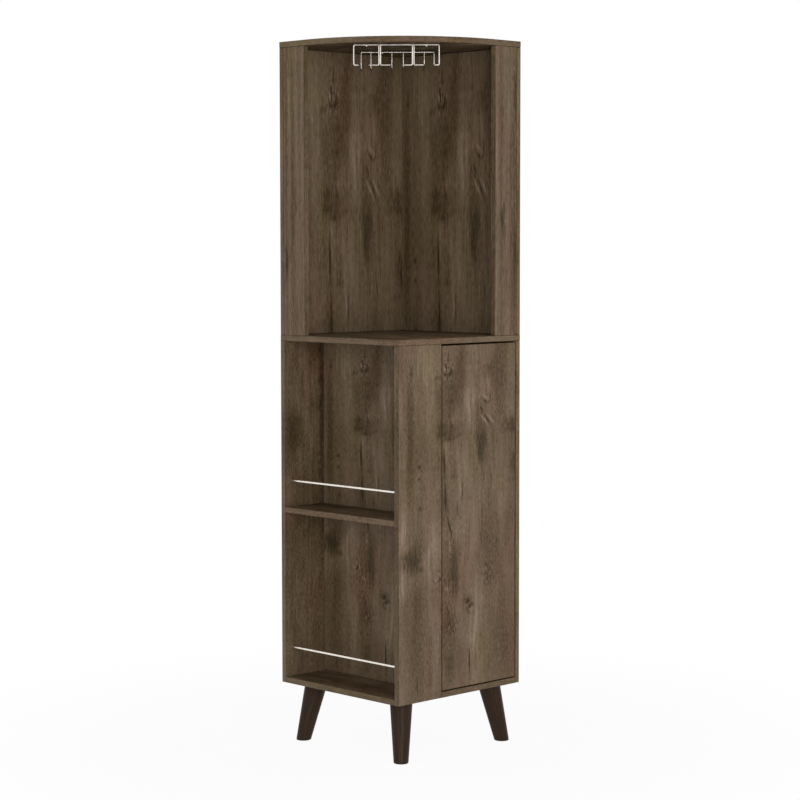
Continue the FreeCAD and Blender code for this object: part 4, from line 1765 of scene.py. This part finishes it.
@dataclass
class Studio:
    """White studio: pale floor that keeps the shadow, soft light and the camera.

    Attributes:
        camera_place: Where the camera stands.
        yaw: Its direction in plan, in degrees from +X towards +Y.
        pitch: How far it looks down, in degrees.
        roll: Its roll in degrees.
        lens: Focal length in millimetres.
        sensor: Width of the sensor in millimetres.
        view_end: How far the camera sees.
        key_place: Where the key lamp hangs.
        key_side: Its side.
        key_power: Its power in watts.
        ambient: Strength of the even light from all round.
        floor_white: Share of plain white in the floor that the camera sees beside the cabinet.
        shadow_reach: Distances between which that share rises to all of it.
        floor_reach: Half the floor's side.
        floor_colour: Colour of the floor that light falls on.
    """

    camera_place: tuple[float, float, float] = (-3.918, -4.043, 1.289)
    yaw: float = 45.907
    pitch: float = 4.0925
    roll: float = -0.062
    lens: float = 98.66
    sensor: float = 36.0
    view_end: float = 100.0
    key_place: tuple[float, float, float] = (-2.75, -4.18, 1.25)
    key_side: float = 2.4
    key_power: float = 106.0
    ambient: float = 0.585
    floor_white: float = 0.94
    shadow_reach: tuple[float, float] = (0.5, 1.6)
    floor_reach: float = 30.0
    floor_colour: tuple = (0.90, 0.90, 0.90, 1.0)

    def build(self) -> None:
        """Set the floor, the lights and the camera."""
        self.sky()
        self.floor()
        self.lamp("key_light", self.key_place, self.key_side, self.key_power)
        self.camera()
        bpy.context.scene.view_settings.view_transform = "Standard"

    def sky(self) -> None:
        """Even light, seen as white by the camera and in reflections."""
        world = bpy.data.worlds.new("studio")
        bpy.context.scene.world = world
        world.use_nodes = True
        tree = world.node_tree
        tree.nodes.clear()
        light = tree.nodes.new("ShaderNodeBackground")
        light.inputs["Strength"].default_value = self.ambient
        white = tree.nodes.new("ShaderNodeBackground")
        white.inputs["Strength"].default_value = 1.0
        for shader in (light, white):
            shader.inputs["Color"].default_value = WHITE
        blend = tree.nodes.new("ShaderNodeMixShader")
        tree.links.new(self.seen(tree), blend.inputs[0])
        tree.links.new(light.outputs[0], blend.inputs[1])
        tree.links.new(white.outputs[0], blend.inputs[2])
        output = tree.nodes.new("ShaderNodeOutputWorld")
        tree.links.new(blend.outputs[0], output.inputs["Surface"])

    @staticmethod
    def seen(tree: bpy.types.NodeTree) -> bpy.types.NodeSocket:
        """Tell the camera's rays and mirrored or refracted rays from the others.

        Args:
            tree: The nodes that it is added to.

        Returns:
            A socket that is one for those rays and otherwise zero.
        """
        path = tree.nodes.new("ShaderNodeLightPath")
        total = path.outputs["Is Camera Ray"]
        for kind in ("Is Glossy Ray", "Is Transmission Ray"):
            either = tree.nodes.new("ShaderNodeMath")
            either.operation = "MAXIMUM"
            tree.links.new(total, either.inputs[0])
            tree.links.new(path.outputs[kind], either.inputs[1])
            total = either.outputs[0]
        return total

    def floor(self) -> None:
        """Wide pale floor whose colour is nearly white to the eye but still takes the shadow."""
        shape = bmesh.new()
        reach = self.floor_reach
        square = ((-reach, -reach), (reach, -reach), (reach, reach), (-reach, reach))
        shape.faces.new([shape.verts.new((x, y, 0.0)) for x, y in square])
        floor = link("studio_floor", to_mesh("studio_floor", shape))
        material = bpy.data.materials.new("studio_floor")
        material.use_nodes = True
        tree = material.node_tree
        tree.nodes.clear()
        matt = tree.nodes.new("ShaderNodeBsdfDiffuse")
        matt.inputs["Color"].default_value = self.floor_colour
        white = tree.nodes.new("ShaderNodeEmission")
        white.inputs["Strength"].default_value = 1.0
        share = tree.nodes.new("ShaderNodeMath")
        share.operation = "MULTIPLY"
        tree.links.new(self.seen(tree), share.inputs[0])
        tree.links.new(self.whiteness(tree), share.inputs[1])
        blend = tree.nodes.new("ShaderNodeMixShader")
        tree.links.new(share.outputs[0], blend.inputs[0])
        tree.links.new(matt.outputs[0], blend.inputs[1])
        tree.links.new(white.outputs[0], blend.inputs[2])
        output = tree.nodes.new("ShaderNodeOutputMaterial")
        tree.links.new(blend.outputs[0], output.inputs["Surface"])
        floor.data.materials.append(material)

    def whiteness(self, tree: bpy.types.NodeTree) -> bpy.types.NodeSocket:
        """Share of plain white in the floor, less beside the cabinet so that its shadow shows.

        Args:
            tree: The floor's nodes.

        Returns:
            The share's socket.
        """
        place = tree.nodes.new("ShaderNodeTexCoord")
        distance = tree.nodes.new("ShaderNodeVectorMath")
        distance.operation = "LENGTH"
        tree.links.new(place.outputs["Object"], distance.inputs[0])
        rise = tree.nodes.new("ShaderNodeMapRange")
        rise.interpolation_type = "SMOOTHSTEP"
        near, far = self.shadow_reach
        limits = {"From Min": near, "From Max": far, "To Min": self.floor_white, "To Max": 1.0}
        for name, value in limits.items():
            rise.inputs[name].default_value = value
        tree.links.new(distance.outputs["Value"], rise.inputs["Value"])
        return rise.outputs[0]

    @staticmethod
    def lamp(name: str, place: tuple[float, float, float], side: float, power: float) -> None:
        """Add a soft square lamp that points at the middle of the cabinet.

        Args:
            name: The lamp's name.
            place: Where it hangs.
            side: Its side.
            power: Its power in watts.
        """
        light = bpy.data.lights.new(name, "AREA")
        light.size = side
        light.energy = power
        lamp = bpy.data.objects.new(name, light)
        lamp.location = place
        target = (CAD_BOX[0] + CAD_BOX[1]) / 2
        lamp.rotation_euler = (target - Vector(place)).to_track_quat("-Z", "Y").to_euler()
        bpy.context.scene.collection.objects.link(lamp)

    def camera(self) -> None:
        """Stand the camera where the view was taken from."""
        yaw = math.radians(self.yaw)
        pitch = math.radians(self.pitch)
        level = math.cos(pitch)
        forward = Vector((level * math.cos(yaw), level * math.sin(yaw), -math.sin(pitch)))
        right = forward.cross(AXES[2]).normalized()
        up = right.cross(forward)
        turn = Matrix((right, up, -forward)).transposed().to_4x4()
        data = bpy.data.cameras.new("camera")
        data.sensor_width = self.sensor
        data.lens = self.lens
        data.clip_end = self.view_end
        camera = bpy.data.objects.new("camera", data)
        camera.matrix_world = (Matrix.Translation(self.camera_place) @ turn
                               @ Matrix.Rotation(math.radians(self.roll), 4, "Z"))
        bpy.context.scene.collection.objects.link(camera)
        bpy.context.scene.camera = camera


def main() -> None:
    """Build the cabinet's looks in order."""
    logging.basicConfig(level=logging.INFO, format="%(name)s: %(message)s")
    finishes = Finishes()
    cams = CamLocks()
    Casework(cams).build(finishes)
    cams.build(finishes)
    BottleRails().build(finishes)
    Legs().build(finishes)
    GlassRack().build(finishes)
    Hardware().build(finishes)
    Studio().build()


if __name__ == "__main__":
    main()
